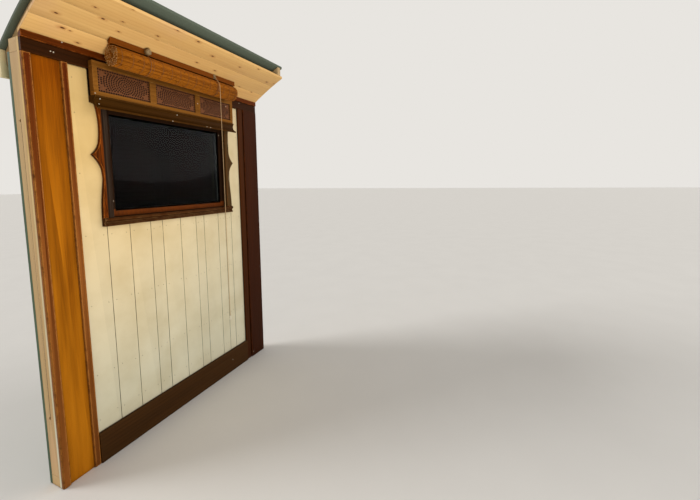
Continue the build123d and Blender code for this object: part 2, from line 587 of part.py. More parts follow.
def blind():
    """Batten under the ceiling, the rolled mat, its knob and its eye, and the cords that lift it."""
    front = BATTEN_BACK + BATTEN_T
    back_top = roof_height(CEILING_RADIUS - ROOF_SEAT, BATTEN_BACK)
    front_top = roof_height(CEILING_RADIUS - ROOF_SEAT, front)
    batten = [(BATTEN_BACK, BATTEN_FOOT), (front, BATTEN_FOOT), (front, front_top), (BATTEN_BACK, back_top)]
    save("blind_batten", section(batten, -BATTEN_HALF, BATTEN_HALF))

    roll = Pos(0, Y_IN - ROLL_PROUD, ROLL_Z) * Rot(0, 90, 0) * Cylinder(ROLL_RADIUS, 2 * ROLL_HALF)
    top = (BATTEN_BACK - ROOF_SEAT, BATTEN_FOOT + MAT_TOP)
    low = tangent_point(top, ROLL_RADIUS, 1)
    inward = tangent_point((top[0], top[1] - MAT_T), ROLL_RADIUS - MAT_T, 1)
    mat = section([top, low, inward, (top[0], top[1] - 2 * MAT_T)], -ROLL_HALF, ROLL_HALF)
    save("blind_roll", roll + mat)

    eye_proud = front + CLIP_T + EYE_RADIUS
    eye_z = BATTEN_FOOT + CLIP_HEIGHT / 2 - EYE_RADIUS
    plates = [block(x - CLIP_WIDTH / 2, x + CLIP_WIDTH / 2, front, front + CLIP_T, BATTEN_FOOT,
                    BATTEN_FOOT + CLIP_HEIGHT) for x in (-CLIP_X, CLIP_X)]
    eye = Pos(CLIP_X, Y_IN - eye_proud, eye_z) * Rot(0, 90, 0) * Torus(EYE_RADIUS, EYE_WIRE)
    knob = Rot(90, 0, 0) * Cylinder(KNOB_RADIUS, KNOB_T)
    knob = chamfer(knob.edges().group_by(Axis.Y)[0], KNOB_EDGE)
    knob_proud = front + CLIP_T + KNOB_T / 2
    knob = Pos(-CLIP_X, Y_IN - knob_proud, BATTEN_FOOT + KNOB_RISE) * knob
    save("blind_clips", plates[0] + knob, plates[1] + eye)

    wrap = ROLL_RADIUS + LOOP_CORD_R + CORD_SEAT
    start = (eye_proud, eye_z - EYE_RADIUS - EYE_WIRE - LOOP_CORD_R)
    touch_front = tangent_point(start, wrap, -1)
    end = (BATTEN_BACK - MAT_T - LOOP_END[0], BATTEN_FOOT + LOOP_END[1])
    touch_back = tangent_point(end, wrap, 1)
    bottom = (ROLL_PROUD, ROLL_Z - wrap)
    loops = []
    for x in (-CLIP_X - LOOP_SHIFT, CLIP_X - LOOP_SHIFT):
        plane = Plane.YZ.offset(x)
        points = [plane.from_local_coords(Vector(*p)) for p in
                  wall_points([start, touch_front, bottom, touch_back, end])]
        path = Wire([Edge.make_line(points[0], points[1]),
                     Edge.make_three_point_arc(points[1], points[2], points[3]),
                     Edge.make_line(points[3], points[4])])
        ring = Plane(origin=points[0], z_dir=points[1] - points[0]) * Circle(LOOP_CORD_R)
        loops.append(sweep(ring, path=path))
    save("lift_loops", *loops)

    cord_x = CLIP_X
    hang = ROLL_PROUD + ROLL_RADIUS + CORD_CLEAR
    bend = (hang, ROLL_Z + CORD_BEND)
    reach = math.hypot(bend[0] - eye_proud, bend[1] - eye_z)
    share = (EYE_RADIUS + EYE_WIRE + CORD_SEAT) / reach
    start = (eye_proud + share * (bend[0] - eye_proud), eye_z + share * (bend[1] - eye_z))
    points = [(cord_x, Y_IN - proud, z) for proud, z in (start, bend, (hang, ACORN_TOP))]
    radii = bend_radii(points)
    print("pull cord radii", [round(r, 1) for r in radii])
    line = FilletPolyline(*points, radius=radii)
    start_dir = Vector(*points[1]) - Vector(*points[0])
    tube = sweep(Plane(origin=points[0], z_dir=start_dir) * Circle(PULL_CORD_R), path=line.wire())
    print("pull cord length", round(line.length, 1), "volume share",
          round(tube.volume / (math.pi * PULL_CORD_R ** 2 * line.length), 4))
    save("pull_cord", tube)

    r, h = ACORN_RADIUS, ACORN_HEIGHT
    profile = [(0, 0), (r * 0.35, 0), (r * 0.8, h * 0.16), (r, h * 0.42), (r * 0.96, h * 0.55), (r, h * 0.58),
               (r, h * 0.68), (r * 0.7, h * 0.84), (r * 0.38, h * 0.92), (r * 0.38, h), (0, h)]
    face = Plane.XZ * make_face(Polyline(*profile, close=True))
    acorn = revolve(face, axis=Axis.Z)
    save("cord_acorn", Pos(cord_x, Y_IN - hang, ACORN_TOP - h) * acorn)


def bend_radii(points):
    """Radius at each inner point: 0.45 of its shorter run over the tangent of half its turn."""
    radii = []
    for before, here, after in zip(points, points[1:], points[2:]):
        a = Vector(*here) - Vector(*before)
        b = Vector(*after) - Vector(*here)
        turn = math.radians(a.get_angle(b))
        radii.append(0.45 * min(a.length, b.length) / math.tan(turn / 2))
    return radii


def outside_trim():
    """Casing of three boards, sloping sill and drip mould on the outer boards."""
    near = -WALL_THICKNESS - CASING_OUT_T
    gap = JOINT_GAP / 2
    reach = OPEN_HALF + CASING_OUT_REACH
    sides = [block(x0, x0 + CASING_OUT_REACH, near, -WALL_THICKNESS, OUT_SILL_TOP, OPEN_TOP - gap)
             for x0 in (-reach, OPEN_HALF)]
    head = block(-reach, reach, near, -WALL_THICKNESS, OPEN_TOP, CASING_OUT_TOP)
    save("outer_casing", *sides, head)
    out = OPEN_HALF + OUT_TRIM_REACH
    tip = -WALL_THICKNESS - OUT_TRIM_PROUD
    throat = [tip + THROAT_WIDTH, tip + 2 * THROAT_WIDTH]
    foot, throat_top = OUT_SILL_FOOT, OUT_SILL_FOOT + THROAT_DEPTH
    sill = [(-WALL_THICKNESS, foot), (-WALL_THICKNESS, OUT_SILL_TOP), (near, OUT_SILL_TOP),
            (tip, OUT_SILL_TOP - OUT_SILL_SLOPE), (tip, foot), (throat[0], foot), (throat[0], throat_top),
            (throat[1], throat_top), (throat[1], foot)]
    save("outer_sill", section(sill, -out, out))
    foot, throat_top = CASING_OUT_TOP, CASING_OUT_TOP + THROAT_DEPTH
    top = foot + DRIP_HEIGHT
    drip = [(-WALL_THICKNESS, foot), (-WALL_THICKNESS, top), (-WALL_THICKNESS - DRIP_TOP_DEPTH, top),
            (tip, foot + DRIP_NOSE), (tip, foot), (throat[0], foot), (throat[0], throat_top),
            (throat[1], throat_top), (throat[1], foot)]
    save("drip_mould", section(drip, -out, out))


def shutters():
    """A pair of louvred shutters, each hung by two straps on two pintles."""
    y_near = Y_OUT + CASING_OUT_T + SHUTTER_CLEARANCE
    y_far = y_near + SHUTTER_T
    edge = OPEN_HALF + SHUTTER_REACH
    meet = SHUTTER_CLEARANCE / 2

    def slab(x0, x1, y0, y1, z0, z1):
        return Pos((x0 + x1) / 2, (y0 + y1) / 2, (z0 + z1) / 2) * Box(x1 - x0, y1 - y0, z1 - z0)

    gap = JOINT_GAP / 2
    inner, outer = meet + SHUTTER_STILE, edge - SHUTTER_STILE
    bars = [slab(meet, inner, y_near, y_far, SHUTTER_BOTTOM, SHUTTER_TOP),
            slab(outer, edge, y_near, y_far, SHUTTER_BOTTOM, SHUTTER_TOP),
            slab(inner + gap, outer - gap, y_near, y_far, SHUTTER_BOTTOM, SHUTTER_BOTTOM + SHUTTER_RAIL),
            slab(inner + gap, outer - gap, y_near, y_far, SHUTTER_TOP - SHUTTER_RAIL, SHUTTER_TOP)]
    field_low, field_high = SHUTTER_BOTTOM + SHUTTER_RAIL, SHUTTER_TOP - SHUTTER_RAIL
    slat = slab(inner + LOUVRE_SEAT, outer - LOUVRE_SEAT, -LOUVRE_WIDTH / 2, LOUVRE_WIDTH / 2,
                -LOUVRE_T / 2, LOUVRE_T / 2)
    slat = chamfer(slat.edges().filter_by(Axis.X), LOUVRE_EDGE)
    slat = Rot(-LOUVRE_TILT, 0, 0) * slat
    half = slat.bounding_box().size.Z / 2 + LOUVRE_SEAT
    pitch = (field_high - field_low - 2 * half) / (LOUVRE_COUNT - 1)
    louvres = [Pos(0, (y_near + y_far) / 2, field_low + half + i * pitch) * slat for i in range(LOUVRE_COUNT)]

    pin_x = edge + PIN_OFFSET
    pin_y = y_far + STRAP_T - EYE_OUTER
    straps, pintles = [], []
    for z in (SHUTTER_BOTTOM + STRAP_INSET, SHUTTER_TOP - STRAP_INSET):
        low, high = z - STRAP_HEIGHT / 2, z + STRAP_HEIGHT / 2
        tip = pin_x - STRAP_LENGTH
        shoulder = tip + STRAP_POINT
        outline = [(pin_x, low), (pin_x, high), (shoulder, high - STRAP_TAPER), (tip, z),
                   (shoulder, low + STRAP_TAPER)]
        strap = extrude(Plane.XZ.offset(-y_far) * make_face(Polyline(*outline, close=True)), amount=-STRAP_T)
        eye = Pos(pin_x, pin_y, z) * Cylinder(EYE_OUTER, STRAP_HEIGHT)
        bore = Pos(pin_x, pin_y, z) * Cylinder(PIN_RADIUS + PIN_RUNNING, STRAP_HEIGHT + 2)
        straps.append(strap + eye - bore)
        plate_top = low + FOOT_PLATE_RISE
        foot = slab(pin_x - FOOT_PLATE_WIDTH / 2, pin_x + FOOT_PLATE_WIDTH / 2, Y_OUT, Y_OUT + FOOT_PLATE_T,
                    plate_top - FOOT_PLATE_HEIGHT, plate_top)
        arm_top = low - HINGE_LIFT
        arm = slab(pin_x - ARM_WIDTH / 2, pin_x + ARM_WIDTH / 2, Y_OUT + FOOT_PLATE_T, pin_y,
                   arm_top - ARM_HEIGHT, arm_top)
        boss = Pos(pin_x, pin_y, arm_top - ARM_HEIGHT / 2) * Cylinder(BOSS_RADIUS, ARM_HEIGHT)
        pin_length = ARM_HEIGHT + HINGE_LIFT + STRAP_HEIGHT + PIN_ABOVE_EYE
        pin = Pos(pin_x, pin_y, arm_top - ARM_HEIGHT + pin_length / 2) * Cylinder(PIN_RADIUS, pin_length)
        pintles.append(foot + arm + boss + pin)
    nodes = {"frame": bars, "louvres": louvres, "straps": straps}
    for name, solids in nodes.items():
        save("shutter_right_" + name, *solids)
        save("shutter_left_" + name, *[mirror(solid, about=Plane.YZ) for solid in solids])
    save("pintles_right", *pintles)
    save("pintles_left", *[mirror(solid, about=Plane.YZ) for solid in pintles])
    print("hinge axis", round(pin_x, 3), round(pin_y, 3))


os.makedirs("parts", exist_ok=True)
frame()
wall_boards()
planted_boards()
window()
surround()
pelmet()
roof()
blind()
outside_trim()
shutters()
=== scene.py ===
# %% [markdown]
# # The window bay of a living wagon
# A bay is one length of a wooden wagon's side wall. This one has the window in it: a wavy surround, a
# pierced pelmet, a rolled bamboo blind under the first ceiling boards, and louvred shutters outside.
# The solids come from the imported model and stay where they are. This notebook gives them their
# finishes, adds the fine pieces that show, and sets up the camera and the lights.

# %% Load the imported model
import math
import random

import bmesh
import bpy
from mathutils import Matrix, Vector
from mathutils.bvhtree import BVHTree


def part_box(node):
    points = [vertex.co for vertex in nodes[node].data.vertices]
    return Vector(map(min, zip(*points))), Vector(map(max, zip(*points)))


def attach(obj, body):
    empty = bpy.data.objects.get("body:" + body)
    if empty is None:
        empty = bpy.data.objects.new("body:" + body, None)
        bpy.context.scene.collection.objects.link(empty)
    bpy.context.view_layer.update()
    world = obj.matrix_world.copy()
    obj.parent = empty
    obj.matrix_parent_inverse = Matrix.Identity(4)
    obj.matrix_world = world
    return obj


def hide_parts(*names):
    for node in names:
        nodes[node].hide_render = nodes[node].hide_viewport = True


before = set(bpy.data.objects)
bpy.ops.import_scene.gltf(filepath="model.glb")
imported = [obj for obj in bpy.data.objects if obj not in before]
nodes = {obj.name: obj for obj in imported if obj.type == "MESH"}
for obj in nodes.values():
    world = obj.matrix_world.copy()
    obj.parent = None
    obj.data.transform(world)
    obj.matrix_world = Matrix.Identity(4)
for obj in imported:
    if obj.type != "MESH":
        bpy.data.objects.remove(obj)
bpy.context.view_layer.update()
print("pieces in the packed model:", len(nodes))

# %% [markdown]
# ## Camera
# The picture was taken from inside the wagon, looking along the wall, so the left end of the bay looks
# almost twice as tall as the right one. Only the same standpoint and the same direction give that
# shape, so the camera is built from its place, its three angles and its focal length. A small shift
# downwards takes in the foot of the wall.

# %% Camera
FRAME_WIDTH_PX = 700
FOCAL_PX = 345.0
SENSOR = 36.0
STANDPOINT = (-1.372, -1.6695, 1.2575)
YAW, PITCH, ROLL = [math.radians(angle) for angle in (23.388, 5.524, -0.596)]
SHIFT_DOWN_PX = 35

forward = Vector((math.cos(YAW) * math.cos(PITCH), math.sin(YAW) * math.cos(PITCH), -math.sin(PITCH)))
level = Vector((math.sin(YAW), -math.cos(YAW), 0.0))
upright = level.cross(forward)
right = math.cos(ROLL) * level + math.sin(ROLL) * upright
above = math.cos(ROLL) * upright - math.sin(ROLL) * level
camera = bpy.data.objects.new("camera", bpy.data.cameras.new("camera"))
bpy.context.scene.collection.objects.link(camera)
camera.matrix_world = Matrix.Translation(STANDPOINT) @ Matrix((right, above, -forward)).transposed().to_4x4()
camera.data.sensor_width = SENSOR
camera.data.lens = FOCAL_PX / FRAME_WIDTH_PX * SENSOR
camera.data.shift_y = -SHIFT_DOWN_PX / FRAME_WIDTH_PX
camera.data.clip_start = 0.01
bpy.context.scene.camera = camera
bpy.context.scene.view_settings.view_transform = "Standard"
print("lens in millimetres:", round(camera.data.lens, 2))

# %% [markdown]
# ## Measures shared by the pieces
# "Proud" is a distance into the room from the face of the inner boards, as a joiner would measure it
# with a rule held against the wall. One helper turns it into the frame's own coordinates.

# %% Measures
boards_low, boards_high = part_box("inner_boards")
WALL_FACE = boards_low.y
random.seed(7)


def on_wall(x, proud, z):
    """A point given by its place along the wall, its distance into the room and its height."""
    return Vector((x, WALL_FACE - proud, z))


print("face of the inner boards at y =", round(WALL_FACE, 4))

# %% [markdown]
# ## The pull cord
# A thin pale cord hangs from the right-hand eye of the blind's batten, in front of the roll, and ends in
# a small turned acorn. It hangs free, so it is a curve through few control points: the eye, the corner
# where it turns down past the roll, one point just below that corner, and the acorn. A NURBS curve of
# order 3 rounds the corner by itself. The curve's own depth is 1, so that each point's radius is the
# cord's radius in metres.

# %% Pull cord
CORD_X = 0.209
CORD_RADIUS = 0.0015
CORD_PROUD = 0.1417
CORD_START = (CORD_X, 0.1155, 1.8553)
CORD_TURN = (CORD_X, CORD_PROUD, 1.8280)
CORD_BELOW_TURN = (CORD_X, CORD_PROUD, 1.7876)
CORD_FOOT = (CORD_X, CORD_PROUD, 0.4500)
CORD_POINTS = [CORD_START, CORD_TURN, CORD_BELOW_TURN, CORD_FOOT]


def new_object(name, data, body="wall"):
    """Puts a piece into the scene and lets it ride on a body."""
    made = bpy.data.objects.new(name, data)
    bpy.context.scene.collection.objects.link(made)
    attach(made, body)
    return made


curve = bpy.data.curves.new("pull_cord_line", "CURVE")
curve.dimensions = "3D"
curve.bevel_depth = 1.0
curve.bevel_resolution = 3
spline = curve.splines.new("NURBS")
spline.points.add(len(CORD_POINTS) - 1)
for point, place in zip(spline.points, CORD_POINTS):
    point.co = (*on_wall(*place), 1.0)
    point.radius = CORD_RADIUS
spline.order_u = 3
spline.use_endpoint_u = True
spline.resolution_u = 24
pull_cord = new_object("pull_cord_line", curve)
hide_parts("pull_cord")
print("cord from", round(CORD_START[2], 3), "down to", CORD_FOOT[2])

# %% [markdown]
# ## Helpers for meshes
# Most small pieces are one of three things: a body turned about an axis, a tube along a line, or many
# thin sticks. Each helper adds its faces to one mesh, so a row of screws is a single piece.

# %% Mesh helpers
def mesh_piece(name, build, finish, body="wall"):
    """Runs build on an empty bmesh and makes a finished piece of what it leaves there."""
    shape = bmesh.new()
    build(shape)
    bmesh.ops.recalc_face_normals(shape, faces=shape.faces)
    mesh = bpy.data.meshes.new(name)
    shape.to_mesh(mesh)
    shape.free()
    mesh.polygons.foreach_set("use_smooth", [True] * len(mesh.polygons))
    mesh.materials.append(finish)
    return new_object(name, mesh, body)


def ring_of(shape, centre, side_a, side_b, radius_a, radius_b, count):
    """One closed ring of vertices round a centre, in the plane of two sides."""
    verts = []
    for i in range(count):
        turn = 2 * math.pi * i / count
        place = centre + side_a * (radius_a * math.cos(turn)) + side_b * (radius_b * math.sin(turn))
        verts.append(shape.verts.new(place))
    return verts


def skin(shape, rings):
    """Quads between rings that follow each other, and a cap on each end."""
    for one, two in zip(rings, rings[1:]):
        for i in range(len(one)):
            j = (i + 1) % len(one)
            shape.faces.new((one[i], one[j], two[j], two[i]))
    shape.faces.new(rings[0][::-1])
    shape.faces.new(rings[-1])


def turned(shape, foot, axis, profile, count):
    """A body turned about an axis from its foot. The profile is a list of (radius, height)."""
    axis = axis.normalized()
    side_a = axis.orthogonal().normalized()
    side_b = axis.cross(side_a)
    rings = [ring_of(shape, foot + axis * height, side_a, side_b, radius, radius, count)
             for radius, height in profile]
    skin(shape, rings)


def tube(shape, line, radius, count):
    """A round tube along a line of points."""
    rings = []
    last = len(line) - 1
    side = None
    for i, place in enumerate(line):
        along = (line[min(i + 1, last)] - line[max(i - 1, 0)]).normalized()
        side = along.orthogonal() if side is None else side - along * side.dot(along)
        side.normalize()
        rings.append(ring_of(shape, place, side, along.cross(side), radius, radius, count))
    skin(shape, rings)


print("helpers ready")

# %% [markdown]
# ## Node helpers
# A material is a small graph. These helpers keep each graph readable: one makes a colour from the three
# numbers that a colour picker shows, one adds a node and fills its sockets, and the others do a step
# that comes often, such as a product, a noise or a mix of two colours.

# %% Node helpers
def tone(red, green, blue):
    """A linear colour from numbers between 0 and 255."""
    parts = [channel / 255 for channel in (red, green, blue)]
    linear = [part / 12.92 if part < 0.04045 else ((part + 0.055) / 1.055) ** 2.4 for part in parts]
    return (*linear, 1.0)


def fill(tree, node, inputs):
    """Feeds a node's inputs. Each gets a value, or the output of another node."""
    for key, value in inputs.items():
        if isinstance(value, bpy.types.NodeSocket):
            tree.links.new(value, node.inputs[key])
        else:
            node.inputs[key].default_value = value


def put(tree, kind, inputs=None, **settings):
    """Adds a shader node with its settings and its inputs."""
    made = tree.nodes.new("ShaderNode" + kind)
    for name, value in settings.items():
        setattr(made, name, value)
    fill(tree, made, inputs or {})
    return made


def maths(tree, operation, first, second=0.0):
    """One arithmetic step. It gives the output socket."""
    return put(tree, "Math", {0: first, 1: second}, operation=operation).outputs[0]


def times(tree, first, second):
    """The product of two values, such as a mask and its strength."""
    return maths(tree, "MULTIPLY", first, second)


def plus(tree, base, value, share):
    """A base with a share of a value added to it."""
    return maths(tree, "ADD", base, times(tree, value, share))


def ramp(tree, value, low, high):
    """Stretches the part of a value between low and high to 0 and 1, and holds it there."""
    return put(tree, "MapRange", {0: value, 1: low, 2: high}, clamp=True).outputs[0]


def vector_of(tree, x, y, z):
    """A vector of three values."""
    return put(tree, "CombineXYZ", {0: x, 1: y, 2: z}).outputs[0]


def parts_of(tree, vector):
    """The three values of a vector."""
    return put(tree, "SeparateXYZ", {0: vector}).outputs


def moved(tree, place, x, y, z):
    """A place moved by three values."""
    return put(tree, "VectorMath", {0: place, 1: vector_of(tree, x, y, z)}, operation="ADD").outputs[0]


def drawn_out(tree, place, share):
    """A place that counts only by a share along Z, so that a pattern there is drawn out."""
    scale = vector_of(tree, 1.0, 1.0, share)
    return put(tree, "VectorMath", {0: place, 1: scale}, operation="MULTIPLY").outputs[0]


def noise(tree, place, scale, detail=3.0):
    """A cloudy value between 0 and 1."""
    return put(tree, "TexNoise", {"Vector": place, "Scale": scale, "Detail": detail}).outputs[0]


def blend_of(tree, factor, first, second, mode="MIX"):
    """Mixes two colours and gives the output socket."""
    made = put(tree, "Mix", {0: factor, 6: first, 7: second}, data_type="RGBA", blend_type=mode)
    return made.outputs[2]


print("node helpers ready")

# %% [markdown]
# ## Node groups
# Grain, wear and grime are in most finishes. Each is a node group: a graph inside one node, built once
# and placed in every material with its own values. Every group here takes a place on the piece as a
# vector, then plain values, and gives masks between 0 and 1.

# %% Node group helpers
def open_group(title, inputs, outputs):
    """A node group with named sockets. It gives the tree, its inputs and its output node."""
    tree = bpy.data.node_groups.new(title, "ShaderNodeTree")
    tree.interface.new_socket(name="Vector", in_out="INPUT", socket_type="NodeSocketVector")
    for name, default in inputs.items():
        socket = tree.interface.new_socket(name=name, in_out="INPUT", socket_type="NodeSocketFloat")
        socket.default_value = default
    for name in outputs:
        tree.interface.new_socket(name=name, in_out="OUTPUT", socket_type="NodeSocketFloat")
    start = tree.nodes.new("NodeGroupInput")
    end = tree.nodes.new("NodeGroupOutput")
    return tree, start.outputs, end


def use(tree, group, **inputs):
    """Places a node group in a material and gives its outputs."""
    return put(tree, "Group", inputs, node_tree=group).outputs


print("node group helpers ready")

# %% [markdown]
# ## Grain
# Sawn boards show growth rings as long, slightly wandering lines, and pores as much finer ones. Both
# are noise that is stretched along the board. The board's own random number shifts the pattern, so no
# two boards repeat. The group takes coordinates with the grain along Z.

# %% Grain group
BOARD_SHIFT = 37.0
SHIFT_ALONG = 0.37
RING_SLANT = 1.7
LATE_WOOD = 2.2
BEND_SCALE = 7.0
CLOUD_SCALE = 16.0
CLOUD_LIMITS = (0.3, 0.7)
PORE_SCALE = 620.0
PORE_STRETCH = 0.012
PORE_LIMITS = (0.35, 0.65)


def grain_group():
    tree, given, end = open_group(
        "Grain", {"Board": 0.0, "Lines": 55.0, "Wander": 3.0, "Stretch": 0.07}, ["Lines", "Pores", "Cloud"])
    shift = times(tree, given["Board"], BOARD_SHIFT)
    place = moved(tree, given["Vector"], shift, shift, times(tree, shift, SHIFT_ALONG))
    drawn = drawn_out(tree, place, given["Stretch"])
    bend = noise(tree, drawn, BEND_SCALE, 2.0)
    parts = parts_of(tree, drawn)
    across = plus(tree, parts[0], parts[1], RING_SLANT)
    rings = plus(tree, times(tree, across, given["Lines"]), bend, given["Wander"])
    late = maths(tree, "POWER", maths(tree, "FRACT", rings), LATE_WOOD)
    pores = noise(tree, drawn_out(tree, place, PORE_STRETCH), PORE_SCALE, 2.0)
    cloud = noise(tree, drawn, CLOUD_SCALE)
    fill(tree, end, {"Lines": late, "Pores": ramp(tree, pores, *PORE_LIMITS),
                     "Cloud": ramp(tree, cloud, *CLOUD_LIMITS)})
    return tree


grain = grain_group()
print("group:", grain.name)

# %% [markdown]
# ## Worn edges, grime and painted shade
# Hands and feet rub varnish off the edges first, and dirt stays where a duster doesn't reach. The edge
# mask compares the true normal with one that is rounded over a few millimetres: they differ only near
# an edge. The grime mask is the share of nearby space that is closed off. Both are broken up by noise.
# The edge mask also paints shade round the cuts of the pierced panels. The grime mask also paints shade
# at the top of those panels and on the pelmet, under the blind's roll.

# %% Wear groups
EDGE_LIMITS = (0.012, 0.13)
GATE_LIMITS = (0.38, 0.62)
CLOSED_LIMITS = (0.15, 0.75)
GRIME_BASE = 0.5
GRIME_PATCHES = 0.7


# the edge mask serves wear, and on the pierced panels painted shade round the cuts
def edge_group():
    tree, given, end = open_group("Edge wear and shade", {"Reach": 0.003, "Patches": 40.0, "Cover": 0.5}, ["Mask"])
    round_normal = put(tree, "Bevel", {"Radius": given["Reach"]}, samples=4).outputs[0]
    true_normal = put(tree, "NewGeometry").outputs["Normal"]
    compared = put(tree, "VectorMath", {0: round_normal, 1: true_normal}, operation="DOT_PRODUCT")
    same = compared.outputs["Value"]
    edge = ramp(tree, maths(tree, "SUBTRACT", 1.0, same), *EDGE_LIMITS)
    patch = noise(tree, given["Vector"], given["Patches"], 4.0)
    gate = maths(tree, "ADD", patch, maths(tree, "SUBTRACT", given["Cover"], 0.5))
    fill(tree, end, {"Mask": times(tree, edge, ramp(tree, gate, *GATE_LIMITS))})
    return tree


# the grime mask serves dirt, and with a long reach painted shade under the blind's roll
def grime_and_shade_group():
    tree, given, end = open_group("Grime and shade", {"Distance": 0.02, "Patches": 25.0}, ["Mask"])
    open_share = put(tree, "AmbientOcclusion", {"Distance": given["Distance"]}, samples=4).outputs["AO"]
    closed = ramp(tree, maths(tree, "SUBTRACT", 1.0, open_share), *CLOSED_LIMITS)
    patch = noise(tree, given["Vector"], given["Patches"])
    fill(tree, end, {"Mask": times(tree, closed, plus(tree, GRIME_BASE, patch, GRIME_PATCHES))})
    return tree


edge_wear_and_shade = edge_group()
grime_and_shade = grime_and_shade_group()
print("groups:", edge_wear_and_shade.name, "and", grime_and_shade.name)

# %% [markdown]
# ## Starting and ending a material
# Every finish starts with the same nodes and ends with the same ones. The start turns the coordinates
# so that the grain runs along Z, and the end feeds the shader. Between them each finish works out its
# colour, its roughness and its relief.

# %% Shared ends of a material
GRAIN_TURNS = {"Z": (0, 1, 2), "X": (2, 1, 0), "Y": (0, 2, 1)}


def start_material(name, direction="Z"):
    """A new material with its coordinates turned so that the grain runs along Z."""
    material = bpy.data.materials.new(name)
    material.use_nodes = True
    tree = material.node_tree
    tree.nodes.clear()
    shader = put(tree, "BsdfPrincipled")
    put(tree, "OutputMaterial", {0: shader.outputs[0]})
    parts = parts_of(tree, put(tree, "TexCoord").outputs["Object"])
    place = vector_of(tree, *[parts[axis] for axis in GRAIN_TURNS[direction]])
    return material, tree, shader, place


def board_number(tree):
    """A random number between 0 and 1 that each separate board has of its own."""
    return put(tree, "NewGeometry").outputs["Random Per Island"]


def graded(tree, colour, board, low, spread):
    """A colour darkened by the board's number, to a share between low and low plus spread."""
    shade = plus(tree, low, board, spread)
    grey = put(tree, "CombineColor", {0: shade, 1: shade, 2: shade}).outputs[0]
    return blend_of(tree, 1.0, colour, grey, "MULTIPLY")


def darkened_in_corners(tree, colour, place, reach, share, darkening):
    """A colour darkened in its corners, up to reach metres: dirt, and painted shade where the reach is long.
    """
    mask = use(tree, grime_and_shade, Vector=place, Distance=reach)["Mask"]
    return blend_of(tree, times(tree, mask, share), colour, darkening)


def feed(tree, shader, colour, rough, shine, height, depth, strength=0.5):
    """Gives a shader its colour, roughness, shine and relief, whose height is in units of depth metres."""
    relief = put(tree, "Bump", {"Height": height, "Distance": depth, "Strength": strength}).outputs[0]
    fill(tree, shader, {"Base Color": colour, "Roughness": rough, "Specular IOR Level": shine,
                        "Normal": relief})


print("grain can run along", ", ".join(GRAIN_TURNS))

# %% [markdown]
# ## Varnished wood
# Most of the trim is the same family of finish: stained wood under an old glossy varnish. One function
# builds it from a light and a dark stain, the colour of the bare wood at worn edges, and the direction
# of the grain. The varnish fills the pores unevenly, so the gloss changes with the grain. Its amber
# colour warms the highlights. Some pieces grow paler from the shoulder down. On the cover strips this
# is where people rub past. On the left casing it is painted shade that keeps the top darker, as under
# the eaves. The wood is darker in its corners. In most pieces that is dirt. On the pelmet, whose reach
# is long, it is painted shade under the blind's roll. A band of a piece can have a stain of its own,
# given as its axis, its two limits and its colour.

# %% Varnished wood
AMBER = tone(255, 196, 140)
DARKENING_COLOUR = tone(20, 10, 5)
DARKENING_SHARE = 0.7
BARE_SHARE = 0.8
STAIN_SHADE = tone(26, 13, 7)
# heights over which a piece grows paler downwards: rubbing on the cover strips, painted shade at the top of
# the left casing
PALER_HEIGHTS = (1.7, 0.8)
PALER_LEVEL = 1.2
PORE_ROUGHNESS = 0.12
WORN_ROUGHNESS = 0.25
LINE_RELIEF = 0.5
GRAIN_DEPTH = 0.00035
BOARD_SPREAD = 0.25


def varnished(name, light, dark, bare, direction="Z", lines=55.0, wander=3.0, gloss=0.45, shine=0.06,
              cover=0.5, contrast=0.75, darkening_reach=0.02, edge=0.003, paler_below=0.0,
              shares=(0.45, 0.40, 0.25), stained=None):
    """Stained and varnished wood. Shares say how much lines, clouds and pores darken it."""
    material, tree, shader, place = start_material(name, direction)
    board = board_number(tree)
    figure = use(tree, grain, Vector=place, Board=board, Lines=lines, Wander=wander)
    mixed = 0.0
    for feature, share in zip(("Lines", "Cloud", "Pores"), shares):
        mixed = plus(tree, mixed, figure[feature], share * contrast)
    colour = blend_of(tree, mixed, light, dark)
    # paler from the shoulder down: wear on the cover strips, painted shade on the left casing
    if paler_below:
        patchy = maths(tree, "SUBTRACT", PALER_LEVEL, figure["Cloud"])
        low_down = ramp(tree, parts_of(tree, place)[2], *PALER_HEIGHTS)
        colour = blend_of(tree, times(tree, low_down, times(tree, patchy, paler_below)), colour, bare)
    colour = graded(tree, colour, board, 1.0 - BOARD_SPREAD / 2, BOARD_SPREAD)
    # darker in the corners: dirt, and with a long reach painted shade under the blind's roll
    colour = darkened_in_corners(tree, colour, place, darkening_reach, DARKENING_SHARE, DARKENING_COLOUR)
    wear = use(tree, edge_wear_and_shade, Vector=place, Cover=cover, Reach=edge)["Mask"]
    colour = blend_of(tree, times(tree, wear, BARE_SHARE), colour, bare)
    if stained:
        axis, low, high, stain = stained
        along = parts_of(tree, place)[axis]
        inside = times(tree, maths(tree, "GREATER_THAN", along, low), maths(tree, "LESS_THAN", along, high))
        colour = blend_of(tree, inside, colour, blend_of(tree, mixed, stain, STAIN_SHADE))
    rough = plus(tree, plus(tree, gloss, figure["Pores"], PORE_ROUGHNESS), wear, WORN_ROUGHNESS)
    height = maths(tree, "SUBTRACT", times(tree, figure["Lines"], LINE_RELIEF), figure["Pores"])
    feed(tree, shader, colour, rough, shine, height, GRAIN_DEPTH, 0.6)
    shader.inputs["Specular Tint"].default_value = AMBER
    return material


print("varnish ready")

# %% Stains of the trim
SASH_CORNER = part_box("sash_frame")[0]
STILE_BAND = 0.024
FOOT_BAND = 0.034

